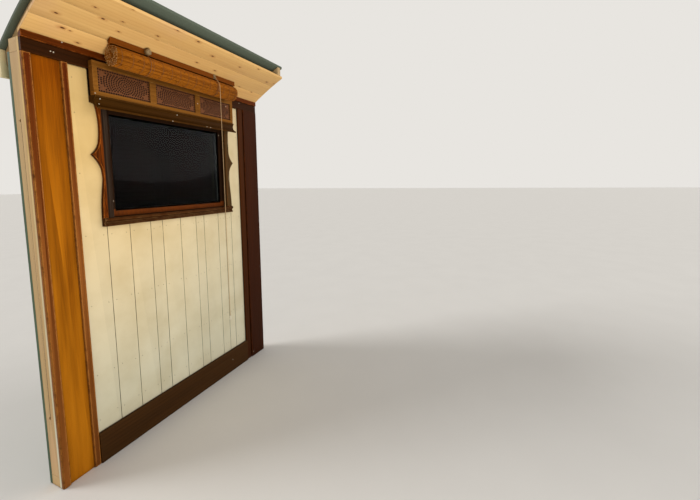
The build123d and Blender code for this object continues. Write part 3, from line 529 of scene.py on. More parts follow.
mahogany_up = varnished("mahogany_up", tone(74, 36, 12), tone(36, 16, 5), tone(150, 80, 34), edge=0.005)
mahogany_dark = varnished("mahogany_dark", tone(62, 25, 6), tone(30, 11, 3), tone(128, 66, 26), edge=0.004)
mahogany_along = varnished("mahogany_along", tone(54, 25, 6), tone(28, 12, 3), tone(112, 56, 22), "X")
skirting_brown = varnished("skirting_brown", tone(76, 48, 22), tone(42, 25, 10), tone(130, 88, 46), "X")
red_brown_up = varnished("red_brown_up", tone(98, 38, 4), tone(46, 15, 2), tone(230, 152, 72), lines=110.0,
                         cover=0.62, edge=0.009, paler_below=0.2, gloss=0.34)
red_brown_along = varnished("red_brown_along", tone(104, 44, 4), tone(50, 19, 2), tone(186, 102, 38), "X",
                            lines=90.0, edge=0.005, contrast=1.0)
# its paler lower part is painted shade: the top of the casing stays darker, as under the eaves
golden_up = varnished("golden_up", tone(152, 78, 2), tone(82, 33, 1), tone(236, 150, 30), lines=70.0,
                      wander=9.0, gloss=0.4, shine=0.04, contrast=1.0, paler_below=0.55, shares=(0.16, 0.6, 0.4))
surround_left = varnished("surround_left", tone(138, 62, 8), tone(46, 18, 2), tone(218, 128, 50), lines=80.0,
                          cover=0.55, edge=0.005, contrast=1.05, shares=(0.35, 0.8, 0.25),
                          stained=(0, SASH_CORNER.x - STILE_BAND, 0.0, tone(62, 50, 40)))
surround_right = varnished("surround_right", tone(84, 60, 30), tone(44, 28, 12), tone(176, 84, 30),
                           lines=80.0, cover=0.55, edge=0.004, contrast=0.9)
sill_dark = varnished("sill_dark", tone(68, 34, 8), tone(33, 15, 3), tone(196, 150, 96), "X", cover=0.55,
                      edge=0.004)
# nearly black: painted shade under the pelmet's moulding
head_shade = varnished("head_shade", tone(42, 20, 7), tone(22, 9, 3), tone(84, 46, 20), "X")
# the long reach paints shade onto the top rail, under the blind's roll
pelmet_along = varnished("pelmet_along", tone(136, 86, 30), tone(84, 50, 14), tone(180, 128, 62), "X",
                         gloss=0.55, darkening_reach=0.07)
moulding_along = varnished("moulding_along", tone(68, 39, 6), tone(37, 19, 2), tone(138, 92, 36), "X",
                           gloss=0.5)
WINDOW_STAIN = (tone(40, 23, 12), tone(20, 10, 5), tone(74, 50, 34))
sash_up = varnished("sash_up", *WINDOW_STAIN,
                    stained=(2, SASH_CORNER.z, SASH_CORNER.z + FOOT_BAND, tone(116, 55, 15)))
lining_up = varnished("lining_up", *WINDOW_STAIN)
# a nearly black board behind the cuts: painted shade, so that the cuts read dark
backing_shade = varnished("backing_shade", tone(18, 9, 5), tone(9, 5, 3), tone(22, 12, 7), "X", gloss=0.7, shine=0.03)
batten_wood = varnished("batten_wood", tone(134, 70, 12), tone(78, 36, 4), tone(172, 104, 38), "X",
                        lines=260.0, contrast=1.0)
print("the sash's corner, where two stains start:", tuple(SASH_CORNER))

# %% [markdown]
# ## Painted boards
# The room side is painted a warm cream, brushed on along the boards. Old oil paint keeps the brush
# marks as faint ridges, yellows a little from board to board, and collects dirt in the joints. Near
# the ceiling, and most of all at the left end, the paint is tinted yellower: that is painted warm
# lamplight. Below the face, inside the joints, it is nearly black. The outside is painted the same way
# in green, with cream trim and red-brown shutters, and there the paint has chipped at the edges.

# %% Painted wood
MOTTLE_SCALE = 6.0
MOTTLE_LIMITS = (0.42, 0.75)
# heights and places along the wall over which painted warm lamplight tints the paint
LAMPLIGHT_HEIGHTS = (0.3, 1.4)
LAMPLIGHT_ALONG = (1.1, -0.3)
DUST = tone(58, 44, 26)
DUST_LIMITS = (0.05, 0.5)
JOINT_DARK = tone(46, 34, 20)
JOINT_DEPTHS = (0.0003, 0.0010)
JOINT_SCALE = 14.0
JOINT_PATCHES = (0.3, 0.62)
END_MARGIN = 0.002
BRUSH_STRETCH = 0.03
BRUSH_SCALE = 260.0
PAINT_DEPTH = 0.0004
BOARDS_MIDDLE = (boards_low.x + boards_high.x) / 2
BOARDS_HALF = (boards_high.x - boards_low.x) / 2


def painted(name, colour, stain, under, direction="Z", rough=0.5, chips=0.0, board_spread=0.06, lamplight=None,
            face=None):
    """Brushed paint. Painted warm lamplight tints it towards the ceiling, and joints behind the face are
    dark.
    """
    material, tree, shader, place = start_material(name, direction)
    board = board_number(tree)
    figure = use(tree, grain, Vector=place, Board=board, Lines=90.0, Wander=4.0, Stretch=0.05)
    mottled = noise(tree, place, MOTTLE_SCALE, 5.0)
    base = blend_of(tree, ramp(tree, mottled, *MOTTLE_LIMITS), colour, stain)
    base = graded(tree, base, board, 1.0 - board_spread, board_spread)
    where = parts_of(tree, place)
    # painted warm lamplight: the paint is tinted yellower high up and towards the left end
    if lamplight is not None:
        share = times(tree, ramp(tree, where[2], *LAMPLIGHT_HEIGHTS), ramp(tree, where[0], *LAMPLIGHT_ALONG))
        base = blend_of(tree, share, base, lamplight, "MULTIPLY")
    darkening = use(tree, grime_and_shade, Vector=place, Distance=0.005)["Mask"]
    base = blend_of(tree, ramp(tree, darkening, *DUST_LIMITS), base, DUST)
    if face is not None:
        from_middle = maths(tree, "ABSOLUTE", maths(tree, "SUBTRACT", where[0], BOARDS_MIDDLE))
        joint = times(tree, ramp(tree, where[1], *[face + depth for depth in JOINT_DEPTHS]),
                      maths(tree, "LESS_THAN", from_middle, BOARDS_HALF - END_MARGIN))
        joint = times(tree, joint, ramp(tree, noise(tree, place, JOINT_SCALE), *JOINT_PATCHES))
        base = blend_of(tree, joint, base, JOINT_DARK)
    if chips:
        wear = use(tree, edge_wear_and_shade, Vector=place, Cover=chips, Patches=70.0)["Mask"]
        base = blend_of(tree, wear, base, under)
    brush = noise(tree, drawn_out(tree, place, BRUSH_STRETCH), BRUSH_SCALE)
    height = plus(tree, brush, figure["Lines"], 0.4)
    feed(tree, shader, base, plus(tree, rough, mottled, 0.15), 0.25, height, PAINT_DEPTH, 0.55)
    return material


print("half the length of the inner boards:", round(BOARDS_HALF, 4))

# %% Paints
# the tint given for the ceiling is painted warm lamplight, not a colour of the paint
cream_boards = painted("cream_boards", tone(222, 215, 186), tone(208, 198, 164), tone(150, 110, 60),
                       lamplight=tone(255, 222, 168), face=WALL_FACE)
green_boards = painted("green_boards", tone(58, 84, 52), tone(48, 72, 46), tone(150, 120, 80), rough=0.35,
                       chips=0.35, board_spread=0.12)
trim_cream = painted("trim_cream", tone(224, 208, 162), tone(208, 188, 138), tone(150, 120, 80), "X",
                     chips=0.4)
shutter_red = painted("shutter_red", tone(122, 36, 22), tone(102, 28, 18), tone(172, 132, 88), rough=0.3,
                      chips=0.42, board_spread=0.1)
print("painted finishes ready")

# %% [markdown]
# ## Knotty pine
# The ceiling is clear-varnished pine with small brown knots. A knot is where a branch was: a dark
# ellipse with rings packed round it. A cell texture on the board's own face gives the knots their
# places, only some cells get one, and the same distance bends the grain lines that pass by.

# %% Pine
KNOT_CELL = 0.077
KNOT_STRETCH = 0.6
KNOT_SIZE = 0.035
KNOT_SIZE_SPREAD = 0.045
KNOT_PUSH = 0.012
KNOT_HEART = tone(84, 42, 16)
KNOT_HALO = tone(168, 104, 48)
KNOT_LIMITS = (0.0, 0.4)
HALO_LIMITS = (-2.0, 0.2)
BOARD_STEP = 5.3
PINK_GREY = tone(206, 158, 128)
BLOOM_SCALE = 4.0
BLOOM_LIMITS = (0.5, 0.7)
PINE_DIRT = tone(84, 50, 22)
PINE_DIRT_LIMITS = (0.04, 0.6)


def pine(name, light, dark, direction, knots, rough=0.5):
    """Pine. The nearer knots is to 1, the fewer cells have one."""
    material, tree, shader, place = start_material(name, direction)
    board = board_number(tree)
    parts = parts_of(tree, place)
    across = plus(tree, maths(tree, "SUBTRACT", parts[1], parts[0]), board, BOARD_STEP)
    flat = vector_of(tree, across, times(tree, parts[2], KNOT_STRETCH), 0.0)
    cells = put(tree, "TexVoronoi", {"Vector": flat, "Scale": 1 / KNOT_CELL, "Randomness": 0.9}, feature="F1",
                voronoi_dimensions="2D")
    chance = put(tree, "SeparateColor", {0: cells.outputs["Color"]}).outputs
    here = maths(tree, "GREATER_THAN", chance[0], knots)
    size = plus(tree, KNOT_SIZE, chance[1], KNOT_SIZE_SPREAD)
    core = maths(tree, "SUBTRACT", 1.0, maths(tree, "DIVIDE", cells.outputs["Distance"], size))
    knot = times(tree, ramp(tree, core, *KNOT_LIMITS), here)
    halo = times(tree, ramp(tree, core, *HALO_LIMITS), here)
    bent = moved(tree, place, times(tree, halo, KNOT_PUSH), 0.0, 0.0)
    figure = use(tree, grain, Vector=bent, Board=board, Lines=70.0, Wander=4.0, Stretch=0.06)
    mixed = plus(tree, times(tree, figure["Lines"], 0.2), figure["Cloud"], 0.5)
    colour = blend_of(tree, plus(tree, mixed, figure["Pores"], 0.12), light, dark)
    bloom = ramp(tree, noise(tree, place, BLOOM_SCALE), *BLOOM_LIMITS)
    colour = blend_of(tree, times(tree, bloom, 0.25), colour, PINK_GREY)
    colour = blend_of(tree, times(tree, halo, 0.5), colour, KNOT_HALO)
    colour = blend_of(tree, knot, colour, KNOT_HEART)
    colour = graded(tree, colour, board, 0.82, 0.2)
    darkening = use(tree, grime_and_shade, Vector=place, Distance=0.01)["Mask"]
    colour = blend_of(tree, ramp(tree, darkening, *PINE_DIRT_LIMITS), colour, PINE_DIRT)
    height = maths(tree, "SUBTRACT", figure["Lines"], knot)
    feed(tree, shader, colour, plus(tree, rough, figure["Pores"], 0.1), 0.2, height, 0.0003)
    return material


ceiling_pine = pine("ceiling_pine", tone(234, 188, 116), tone(198, 146, 82), "X", 0.45)
SAWN = (tone(214, 182, 132), tone(180, 142, 92))
timber_up = pine("timber_up", *SAWN, "Z", 0.9, rough=0.65)
timber_along = pine("timber_along", *SAWN, "X", 0.9, rough=0.65)
timber_across = pine("timber_across", *SAWN, "Y", 0.92, rough=0.65)
print("pine finishes ready")

# %% [markdown]
# ## Pierced panels
# The three panels are thin hardwood, cut right through. The wood is a dull pinkish brown, lighter on
# the worn face. The rims of the cuts and the insides of the cuts are painted dark as painted shade, and
# so is the top of each panel, under the blind's roll. The cuts are real holes in the solids. The
# finish only adds the painted shade inside them, by depth behind the face.

# %% Fret
FRET_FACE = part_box("fret_panel_middle")[0].y
CUT_DEPTHS = (0.0004, 0.0016)
# painted shade inside the cuts
CUT_SHADE = tone(12, 5, 3)
RIM_REACH = 0.0026
RIM_SHARE = 0.92
# painted shade round the rims of the cuts
RIM_SHADE = tone(22, 10, 5)
SHADE_REACH = 0.07
SHADE_SHARE = 0.7
# painted shade at the top of each panel, under the blind's roll
SHADE_TONE = tone(40, 22, 12)


def fretwork():
    material, tree, shader, place = start_material("fretwork", "X")
    figure = use(tree, grain, Vector=place, Board=board_number(tree), Lines=160.0, Wander=2.0)
    cloud = plus(tree, times(tree, figure["Cloud"], 0.5), figure["Lines"], 0.3)
    colour = blend_of(tree, cloud, tone(116, 67, 31), tone(76, 41, 15))
    # painted shade: the top of the panel darker under the roll, the rims and the cuts dark
    colour = darkened_in_corners(tree, colour, place, SHADE_REACH, SHADE_SHARE, SHADE_TONE)
    rims = use(tree, edge_wear_and_shade, Vector=place, Reach=RIM_REACH, Cover=1.0)["Mask"]
    colour = blend_of(tree, times(tree, rims, RIM_SHARE), colour, RIM_SHADE)
    inside = ramp(tree, parts_of(tree, place)[1], *[FRET_FACE + depth for depth in CUT_DEPTHS])
    colour = blend_of(tree, inside, colour, CUT_SHADE)
    feed(tree, shader, colour, plus(tree, 0.5, figure["Pores"], 0.15), 0.15, figure["Lines"], 0.0002)
    return material


fret_brown = fretwork()
print("fretwork ready")

# %% [markdown]
# ## Bamboo
# The blind is a mat of split bamboo sticks, each its own shade from straw to brown, with a darker band
# where the cane had a joint. Every stick carries its own random number in an attribute, so that the
# shade and the joints belong to the stick and not to its place in the room. The sawn ends are pale on
# some sticks and painted dark on the others, as painted shade on ends that sit further back.

# %% Bamboo
STICK_SHIFT = 91.0
STRAW = tone(204, 122, 30)
OLD_CANE = tone(104, 50, 6)
FIBRE_STRETCH = 0.02
FIBRE_SCALE = 900.0
FIBRE_BROWN = tone(88, 42, 6)
JOINTS_PER_METRE = 3.6
JOINT_OFFSETS = 17.0
JOINT_LIMITS = (0.018, 0.006)
JOINT_BROWN = tone(64, 32, 8)
CANE_LIMITS = (0.2, 0.95)
CANE_DIRT = tone(48, 22, 5)
# sticks above these numbers get dark ends: painted shade, as if those ends were set further back
END_SHADE_LIMITS = (0.5, 0.7)
FACING_END = 0.7


def bamboo():
    material, tree, shader, place = start_material("bamboo", "X")
    stick = put(tree, "Attribute", attribute_name="stick", attribute_type="GEOMETRY").outputs["Fac"]
    own = moved(tree, place, times(tree, stick, STICK_SHIFT), 0.0, 0.0)
    fibre = noise(tree, drawn_out(tree, own, FIBRE_STRETCH), FIBRE_SCALE, 2.0)
    mixed = plus(tree, times(tree, stick, 0.35), noise(tree, own, 38.0), 0.75)
    colour = blend_of(tree, ramp(tree, mixed, *CANE_LIMITS), STRAW, OLD_CANE)
    colour = blend_of(tree, times(tree, fibre, 0.35), colour, FIBRE_BROWN)
    along = times(tree, parts_of(tree, own)[2], JOINTS_PER_METRE)
    spot = maths(tree, "FRACT", plus(tree, along, stick, JOINT_OFFSETS))
    from_joint = maths(tree, "ABSOLUTE", maths(tree, "SUBTRACT", spot, 0.5))
    joint = ramp(tree, from_joint, *JOINT_LIMITS)
    colour = blend_of(tree, times(tree, joint, 0.75), colour, JOINT_BROWN)
    colour = darkened_in_corners(tree, colour, place, 0.004, 0.6, CANE_DIRT)
    facing = parts_of(tree, put(tree, "NewGeometry").outputs["Normal"])[0]
    cut_end = maths(tree, "GREATER_THAN", maths(tree, "ABSOLUTE", facing), FACING_END)
    # sawn ends: pale, or dark as painted shade of a set-back end, by the stick's number
    pale_and_shaded_end = blend_of(tree, ramp(tree, stick, *END_SHADE_LIMITS), tone(252, 218, 156), tone(96, 46, 16))
    colour = blend_of(tree, cut_end, colour, pale_and_shaded_end)
    height = maths(tree, "ADD", fibre, joint)
    feed(tree, shader, colour, plus(tree, 0.42, fibre, 0.25), 0.1, height, 0.00025, 0.6)
    shader.inputs["Specular Tint"].default_value = AMBER
    return material


bamboo_sticks = bamboo()
print("bamboo ready")

# %% [markdown]
# ## Glass, metals and small parts
# The window has two panes with a bright spacer strip between them, which shows as a silver line at the
# edge. At night such glass looks almost black, so it is slightly grey and reflects little. Metal parts
# are dull with age: their gloss and colour wander with a fine noise.

# %% Small finishes
PATCH_LIMITS = (0.35, 0.7)
HANDLED_DIRT = tone(40, 30, 22)
HAZE_LIMITS = (0.5, 12.0)
GLASS_IOR = 1.12
STRAND_SCALE = 700.0
USUAL_SHINE = 0.5


def plain(name, colour, second, rough, scale, metallic=0.0, depth=0.0002):
    """A finish with two colours in fine patches, and gloss and bump that follow them."""
    material, tree, shader, place = start_material(name)
    patch = noise(tree, place, scale, 5.0)
    shown = blend_of(tree, ramp(tree, patch, *PATCH_LIMITS), colour, second)
    shown = darkened_in_corners(tree, shown, place, 0.006, 0.5, HANDLED_DIRT)
    feed(tree, shader, shown, plus(tree, rough, patch, 0.2), 0.3, patch, depth)
    shader.inputs["Metallic"].default_value = metallic
    return material


def window_glass():
    """Glass with faint smears. Their upper limit is far above 1, so the haze stays very low."""
    material, tree, shader, place = start_material("window_glass")
    smear = noise(tree, place, 5.0, 4.0)
    tint = blend_of(tree, smear, tone(154, 158, 154), tone(144, 148, 144))
    fill(tree, shader, {"Base Color": tint, "Roughness": ramp(tree, smear, *HAZE_LIMITS),
                        "Transmission Weight": 1.0, "IOR": GLASS_IOR})
    return material


def braided(name, colour, dark):
    """Thin cord: strands that wind round it, shown by slanted lines."""
    material, tree, shader, place = start_material(name)
    wave = put(tree, "TexWave", {"Vector": place, "Scale": STRAND_SCALE, "Distortion": 1.5},
               bands_direction="DIAGONAL")
    strands = wave.outputs["Fac"]
    shown = blend_of(tree, times(tree, strands, 0.6), colour, dark)
    feed(tree, shader, shown, plus(tree, 0.6, strands, 0.2), USUAL_SHINE, strands, 0.0003, 0.7)
    return material


glass = window_glass()
spacer_metal = plain("spacer_metal", tone(214, 218, 220), tone(176, 180, 184), 0.35, 300.0, metallic=0.2)
clip_metal = plain("clip_metal", tone(140, 116, 78), tone(104, 82, 50), 0.45, 220.0, metallic=0.1)
cord_white = braided("cord_white", tone(196, 162, 116), tone(136, 100, 62))
loop_cord = braided("loop_cord", tone(132, 78, 28), tone(84, 44, 12))
acorn_white = plain("acorn_white", tone(236, 228, 208), tone(216, 204, 178), 0.35, 90.0)
iron = plain("iron", tone(34, 32, 31), tone(62, 52, 46), 0.45, 120.0, metallic=0.8, depth=0.0005)
canvas = plain("canvas", tone(92, 100, 84), tone(76, 84, 70), 0.7, 420.0, depth=0.0006)
print("small finishes ready")

# %% [markdown]
# ## Finishes for the solids
# Sawn and planed wood never has a razor edge. One modifier joins each solid's faces along their edges,
# and another rounds those edges: by half a millimetre on thin work, by four where hands have worn it.
# That catches the light as real edges do. The solids' own meshes stay as they were packed.

# %% Dress the solids
EASE = 0.0012
WELD = 0.00001
CORNER = math.radians(28)
DRESSING = [
    # (finish, how far the edges are rounded, pieces)
    (timber_along, EASE, ["sole_rail", "wall_plate"]),
    (timber_up, EASE, ["post_left", "post_right"]),
    (timber_across, EASE, ["roof_bow_left", "roof_bow_right"]),
    (cream_boards, 0.0004, ["inner_boards"]),
    (green_boards, 0.0004, ["outer_boards"]),
    (skirting_brown, 0.0015, ["skirting"]),
    (red_brown_up, 0.004, ["cover_strips_left"]),
    (golden_up, 0.0008, ["casing_left"]),
    (mahogany_up, 0.004, ["cover_strip_right"]),
    (mahogany_dark, 0.0025, ["casing_right"]),
    (mahogany_along, 0.0015, ["eaves_board"]),
    (red_brown_along, 0.0015, ["eaves_strip"]),
    (ceiling_pine, 0.0016, ["ceiling_boards"]),
    (canvas, 0.0015, ["roof_deck"]),
    (trim_cream, 0.0015, ["eaves_fascia", "outer_casing", "outer_sill"]),
    (trim_cream, EASE, ["drip_mould"]),
    (lining_up, 0.001, ["window_lining"]),
    (sash_up, EASE, ["sash_frame"]),
    (glass, 0.0, ["glass_panes"]),
    (spacer_metal, 0.0, ["glass_spacer"]),
    (surround_left, 0.0022, ["surround_left"]),
    (surround_right, 0.0022, ["surround_right"]),
    (head_shade, 0.001, ["surround_head"]),
    (sill_dark, EASE, ["sill_moulding"]),
    (backing_shade, 0.0, ["pelmet_backboard"]),
    (pelmet_along, 0.0016, ["pelmet_frame"]),
    (fret_brown, 0.0005, ["fret_panel_left", "fret_panel_middle", "fret_panel_right"]),
    (moulding_along, 0.001, ["pelmet_moulding"]),
    (batten_wood, EASE, ["blind_batten"]),
    (clip_metal, 0.0004, ["blind_clips"]),
    (loop_cord, 0.0, ["lift_loops"]),
    (shutter_red, 0.0015, ["shutter_left_frame", "shutter_right_frame"]),
    (shutter_red, 0.0006, ["shutter_left_louvres", "shutter_right_louvres"]),
    (iron, 0.0008, ["shutter_left_straps", "shutter_right_straps"]),
    (iron, 0.0006, ["pintles_left", "pintles_right"]),
]


def dress(solid, material, ease):
    for slot in solid.material_slots:
        slot.material = material
    weld = solid.modifiers.new("weld", "WELD")
    weld.merge_threshold = WELD
    if ease:
        bevel = solid.modifiers.new("ease", "BEVEL")
        bevel.width = ease
        bevel.segments = 2
        bevel.limit_method = "ANGLE"
        bevel.angle_limit = CORNER
        bevel.harden_normals = True


for material, ease, names in DRESSING:
    for name in names:
        dress(nodes[name], material, ease)
print("solids dressed:", sum(len(names) for material, ease, names in DRESSING))

# %% [markdown]
# ## The rolled blind
# The mat hangs from the back of its batten and is rolled up from the far end, so from the side it is a
# spiral. Each stick is laid at its own place along that spiral, slightly bent and not quite as long as
# its neighbours. Pairs of threads are stitched across the sticks. They follow the mat from the batten
# and once round the roll, and lie a little higher on one stick than on the next.

# %% Line of the mat
batten_low, batten_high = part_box("blind_batten")
roll_low, roll_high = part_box("blind_roll")
ROLL_OUTER = 0.046
ROLL_PROUD = 0.091
ROLL_HALF = roll_high.x
ROLL_HEIGHT = roll_low.z + ROLL_OUTER
ROLL_CLEAR = 0.0004
MAT_CLEAR = 0.0016
MAT_RISE = 0.009
MAT_START = (WALL_FACE - batten_high.y - MAT_CLEAR, batten_low.z + MAT_RISE)
STICK_THICK = 0.0024
STICK_STEP = 0.0034
TURN_STEP = 0.0038
CORE_RADIUS = 0.011


def spiral_stations():
    """Places of the sticks: (proud, height, direction of the mat), from the batten to the core."""
    radius = ROLL_OUTER - STICK_THICK / 2 - ROLL_CLEAR
    dx, dz = MAT_START[0] - ROLL_PROUD, MAT_START[1] - ROLL_HEIGHT
    angle = math.atan2(dz, dx) + math.acos(radius / math.hypot(dx, dz))
    run_x = ROLL_PROUD + radius * math.cos(angle) - MAT_START[0]
    run_z = ROLL_HEIGHT + radius * math.sin(angle) - MAT_START[1]
    lead = math.atan2(run_z, run_x)
    steps = int(math.hypot(run_x, run_z) / STICK_STEP)
    stations = [(MAT_START[0] + i / steps * run_x, MAT_START[1] + i / steps * run_z, lead)
                for i in range(steps)]
    while radius > CORE_RADIUS:
        stations.append((ROLL_PROUD + radius * math.cos(angle), ROLL_HEIGHT + radius * math.sin(angle),
                         angle + math.pi / 2))
        step = STICK_STEP / radius
        angle += step
        radius -= TURN_STEP * step / (2 * math.pi)
    return stations, steps


stations, first_turn = spiral_stations()
print("sticks in the mat:", len(stations), "of which before the roll:", first_turn)

# %% Sticks
STICK_WIDTH = 0.0031
WIDTH_SPREAD = (0.86, 1.05)
THICK_SPREAD = (0.85, 1.0)
STICK_TRIMS = (0.0002, 0.0075)
STICK_SWAY = 0.0003
STICK_RINGS = 7


def build_sticks(shape):
    """Every stick of the mat: six sides, bent a little, with its own number for the finish."""
    layer = shape.verts.layers.float.new("stick")
    for proud, height, lead in stations:
        number = random.random()
        flat = Vector((0, -math.cos(lead), math.sin(lead)))
        out = Vector((0, math.sin(lead), math.cos(lead)))
        low = -ROLL_HALF + random.uniform(*STICK_TRIMS)
        high = ROLL_HALF - random.uniform(*STICK_TRIMS)
        half_width = STICK_WIDTH / 2 * random.uniform(*WIDTH_SPREAD)
        half_thick = STICK_THICK / 2 * random.uniform(*THICK_SPREAD)
        rings = []
        for i in range(STICK_RINGS):
            x = low + (high - low) * i / (STICK_RINGS - 1)
            centre = on_wall(x, proud, height) + flat * random.uniform(-STICK_SWAY, STICK_SWAY)
            ring = ring_of(shape, centre, flat, out, half_width, half_thick, 6)
            for vert in ring:
                vert[layer] = number
            rings.append(ring)
        skin(shape, rings)


blind_sticks = mesh_piece("blind_sticks", build_sticks, bamboo_sticks)
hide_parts("blind_roll")
print("faces of the sticks:", len(blind_sticks.data.polygons))

# %% Threads
THREAD_PAIRS = 15
THREAD_INSET = 0.022
THREAD_APART = 0.0014
THREAD_LIFTS = (0.00045, 0.00015)
THREAD_RADIUS = 0.00038
THREAD_END = first_turn + int(2 * math.pi * ROLL_OUTER / STICK_STEP)


def thread_line(x):
    """The line of one thread: along the mat to the roll, and then once round the roll's outer face."""
    line = []
    for j, (proud, height, lead) in enumerate(stations[:THREAD_END]):
        outward = Vector((0, -math.sin(lead), -math.cos(lead)))
        if j >= first_turn:
            outward = Vector((0, ROLL_PROUD - proud, height - ROLL_HEIGHT)).normalized()
        line.append(on_wall(x, proud, height) + outward * (STICK_THICK / 2 + THREAD_LIFTS[j % 2]))
    return line


def build_threads(shape):
    for i in range(THREAD_PAIRS):
        x = -ROLL_HALF + THREAD_INSET + (2 * ROLL_HALF - 2 * THREAD_INSET) * i / (THREAD_PAIRS - 1)
        for side in (-THREAD_APART, THREAD_APART):
            tube(shape, thread_line(x + side), THREAD_RADIUS, 4)


thread = braided("thread", tone(160, 98, 36), tone(104, 58, 16))
mesh_piece("blind_threads", build_threads, thread)
print("threads on the mat:", 2 * THREAD_PAIRS)

# %% [markdown]
# ## Acorn
# The cord ends in a turned acorn with a small cup and a neck. It is a body of revolution, so one profile
# is enough. The profile lists a radius and a height above the acorn's foot for each point.

# %% Acorn
UPWARDS = Vector((0, 0, 1))
ACORN_PROFILE = [(0.0004, 0.0), (0.0022, 0.0006), (0.0038, 0.0026), (0.0052, 0.0062), (0.0060, 0.0104),
                 (0.0062, 0.0140), (0.0060, 0.0150), (0.0063, 0.0156), (0.0063, 0.0180), (0.0056, 0.0206),
                 (0.0042, 0.0230), (0.0026, 0.0246), (0.0024, 0.0268), (0.0012, 0.0270)]


def build_acorn(shape):
    foot = on_wall(CORD_X, CORD_PROUD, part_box("cord_acorn")[0].z)
    turned(shape, foot, UPWARDS, ACORN_PROFILE, 32)


cord_acorn = mesh_piece("cord_acorn_turned", build_acorn, acorn_white)
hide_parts("cord_acorn")
pull_cord.data.materials.append(cord_white)
print("acorn of", len(cord_acorn.data.vertices), "points")

# %% [markdown]
# ## Nails and screws
# The boards are held by small nails, punched just below the paint and filled, so they show as dark
# dots. The trim is screwed on, and some screw heads were touched up with white paint. The dots of each
# kind are one piece.

# %% Nails
NAIL_PROFILE = [(0.0016, -0.0004), (0.0016, 0.0001), (0.0010, 0.0003), (0.0002, 0.0003)]
INNER_JOINTS = [-0.493, -0.382, -0.277, -0.169, -0.101, 0.011, 0.118, 0.178, 0.292, 0.354, 0.408, 0.498]
NAIL_ROWS = [0.200, 0.400, 0.720, 1.030]
SIDE_ROWS = [1.306, 1.560, 1.700]
WINDOW_CLEAR = 0.432
NAIL_INSET = 0.018
NAIL_WOBBLE = 0.006
INTO_ROOM = Vector((0, -1, 0))


def build_inner_nails(shape):
    for x0, x1 in zip(INNER_JOINTS, INNER_JOINTS[1:]):
        for x in (x0 + NAIL_INSET, x1 - NAIL_INSET):
            rows = NAIL_ROWS + (SIDE_ROWS if abs(x) > WINDOW_CLEAR else [])
            for z in rows:
                wobble = random.uniform(-NAIL_WOBBLE, NAIL_WOBBLE)
                turned(shape, on_wall(x + wobble / 2, 0.0, z + wobble), INTO_ROOM, NAIL_PROFILE, 10)


nail_filler = plain("nail_filler", tone(86, 62, 40), tone(60, 42, 28), 0.6, 400.0)
inner_nails = mesh_piece("inner_nails", build_inner_nails, nail_filler)
print("faces of the nails:", len(inner_nails.data.polygons))

# %% Screws
SCREW_PROFILE = [(0.0026, -0.0008), (0.0026, 0.0003), (0.0022, 0.0008), (0.0013, 0.0011), (0.0003, 0.0012)]
TOUCHED_UP = [
    # place along the wall and height of each screw head with white paint on it
    (-0.3949, 1.6237), (-0.4020, 1.6005), (-0.4125, 1.6440), (-0.0054, 1.6209), (-0.0531, 1.5800),
    (0.1359, 1.7083), (0.3385, 1.5565), (0.1755, 1.5830), (0.2035, 1.5825), (0.3653, 1.7369),
    (-0.5498, 1.7739), (-0.5400, 1.7734), (0.5113, 1.7880), (-0.5110, 1.8200), (0.3470, 0.0760),
    (0.5560, 0.0330), (-0.3580, 1.1810),
]
CARRIERS = ["pelmet_moulding", "pelmet_frame", "fret_panel_right", "pelmet_backboard", "surround_left",
            "surround_right", "eaves_board", "eaves_strip", "skirting", "sash_frame", "window_lining",
            "casing_right"]
FROM_ROOM = 0.5
OUTWARDS = Vector((0, 1, 0))


def search_tree(name):
    """A solid's faces, ready for finding where a straight line meets them."""
    mesh = nodes[name].data
    corners = [vert.co for vert in mesh.vertices]
    return BVHTree.FromPolygons(corners, [face.vertices for face in mesh.polygons])


carriers = [search_tree(name) for name in CARRIERS]


def seat(x, z):
    """The point that a straight line from the room meets first, and the way that surface faces."""
    hits = [tree.ray_cast(on_wall(x, FROM_ROOM, z), OUTWARDS) for tree in carriers]
    hits = [hit for hit in hits if hit[0] is not None]
    first = min(hits, key=lambda hit: hit[3])
    return first[0], first[1]


def build_screws(shape):
    for x, z in TOUCHED_UP:
        place, facing = seat(x, z)
        turned(shape, place, facing, SCREW_PROFILE, 14)


screw_paint = plain("screw_paint", tone(206, 194, 172), tone(170, 152, 128), 0.5, 300.0)
mesh_piece("trim_screws", build_screws, screw_paint)
print("screws on the room side:", len(TOUCHED_UP))

# %% [markdown]
# ## Bolts on the straps
# Each strap hinge is held to its shutter by three coach bolts with domed heads. They are on the
# shutter's own body, so that they swing with it.

# %% Strap bolts
BOLT_PROFILE = [(0.0065, -0.0006), (0.0065, 0.0008), (0.0056, 0.0026), (0.0036, 0.0040), (0.0005, 0.0045)]
BOLT_PLACES = [0.05, 0.14, 0.235]
PIN_PLACE = 0.416
STRAP_HALF = 0.013


def build_bolts(side):
    strap_low, strap_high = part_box("shutter_" + side + "_straps")
    sign = -1 if side == "left" else 1
    rows = (strap_low.z + STRAP_HALF, strap_high.z - STRAP_HALF)

    def build(shape):
        for z in rows:
            for reach in BOLT_PLACES:
                foot = Vector((sign * (PIN_PLACE - reach), strap_high.y, z))
                turned(shape, foot, OUTWARDS, BOLT_PROFILE, 20)
    return build


for side in ("left", "right"):
    mesh_piece("strap_bolts_" + side, build_bolts(side), iron, body="shutter_" + side)
print("bolts on each shutter:", 2 * len(BOLT_PLACES))

# %% [markdown]
# ## Studio
# The wall is shown in a plain pale studio. The world lights it evenly from all sides, so that each
# colour renders about as it is written. One soft far lamp on the room side, above and to the right,
# gives the shadows that the window's trim casts to the left. A low lamp lights the underside of the
# ceiling boards, and a third lights the outside. No lamp is seen itself, not even through the glass.

# %% Floor
FLOOR_HALF = 60.0
PALE = tone(232, 229, 224)

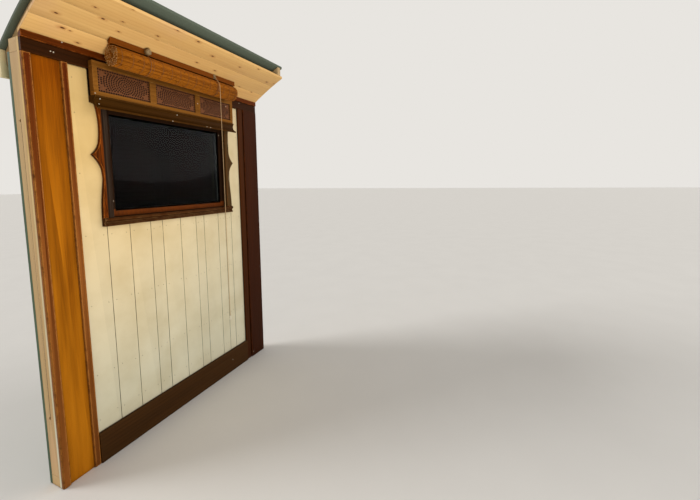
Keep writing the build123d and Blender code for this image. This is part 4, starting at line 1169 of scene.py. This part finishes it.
floor_mesh = bpy.data.meshes.new("floor")
floor_mesh.from_pydata([(-FLOOR_HALF, -FLOOR_HALF, 0.0), (FLOOR_HALF, -FLOOR_HALF, 0.0),
                        (FLOOR_HALF, FLOOR_HALF, 0.0), (-FLOOR_HALF, FLOOR_HALF, 0.0)], [], [(0, 1, 2, 3)])
floor_mesh.materials.append(plain("floor_finish", PALE, tone(230, 227, 222), 0.7, 3.0, depth=0.0001))
floor = bpy.data.objects.new("floor", floor_mesh)
bpy.context.scene.collection.objects.link(floor)
print("floor of", 2 * FLOOR_HALF, "metres")

# %% Lamps
def link_lamp(name, data, place, target):
    """Hangs a lamp at its place, turned to its target. The lamp itself isn't seen."""
    lamp = bpy.data.objects.new(name, data)
    bpy.context.scene.collection.objects.link(lamp)
    lamp.location = place
    lamp.rotation_euler = (Vector(target) - Vector(place)).to_track_quat("-Z", "Y").to_euler()
    lamp.visible_camera = False
    lamp.visible_transmission = False


def far_lamp(name, place, strength, spread):
    """A lamp so far off that its light is even, as wide as spread degrees."""
    data = bpy.data.lights.new(name, "SUN")
    data.energy = strength
    data.angle = math.radians(spread)
    link_lamp(name, data, place, (0.0, 0.0, 0.0))


def near_lamp(name, place, target, power, size, spread):
    """A square lamp whose light stays within spread degrees, so that none of it pools on the floor."""
    data = bpy.data.lights.new(name, "AREA")
    data.shape = "SQUARE"
    data.size = size
    data.energy = power
    data.spread = math.radians(spread)
    link_lamp(name, data, place, target)


far_lamp("key_lamp", (2.0, -2.6, 1.2), strength=0.8, spread=40.0)
far_lamp("outside_lamp", (-1.8, 3.0, 2.2), strength=1.6, spread=25.0)
near_lamp("ceiling_lamp", (-0.8, -1.9, 0.7), target=(-0.1, -0.2, 1.9), power=9.0, size=1.0, spread=100.0)
print("lamps:", len(bpy.data.lights))

# %% World
WORLD_LIGHT = 0.56

world = bpy.data.worlds.new("studio")
bpy.context.scene.world = world
world.use_nodes = True
sky = world.node_tree
sky.nodes.clear()
path = put(sky, "LightPath").outputs
seen = maths(sky, "MAXIMUM", path["Is Camera Ray"], path["Is Glossy Ray"])
seen = maths(sky, "MAXIMUM", seen, path["Is Transmission Ray"])
strength = plus(sky, WORLD_LIGHT, seen, 1.0 - WORLD_LIGHT)
background = put(sky, "Background", {"Color": PALE, "Strength": strength})
put(sky, "OutputWorld", {0: background.outputs[0]})
print("strength of the world's light on the part:", WORLD_LIGHT)
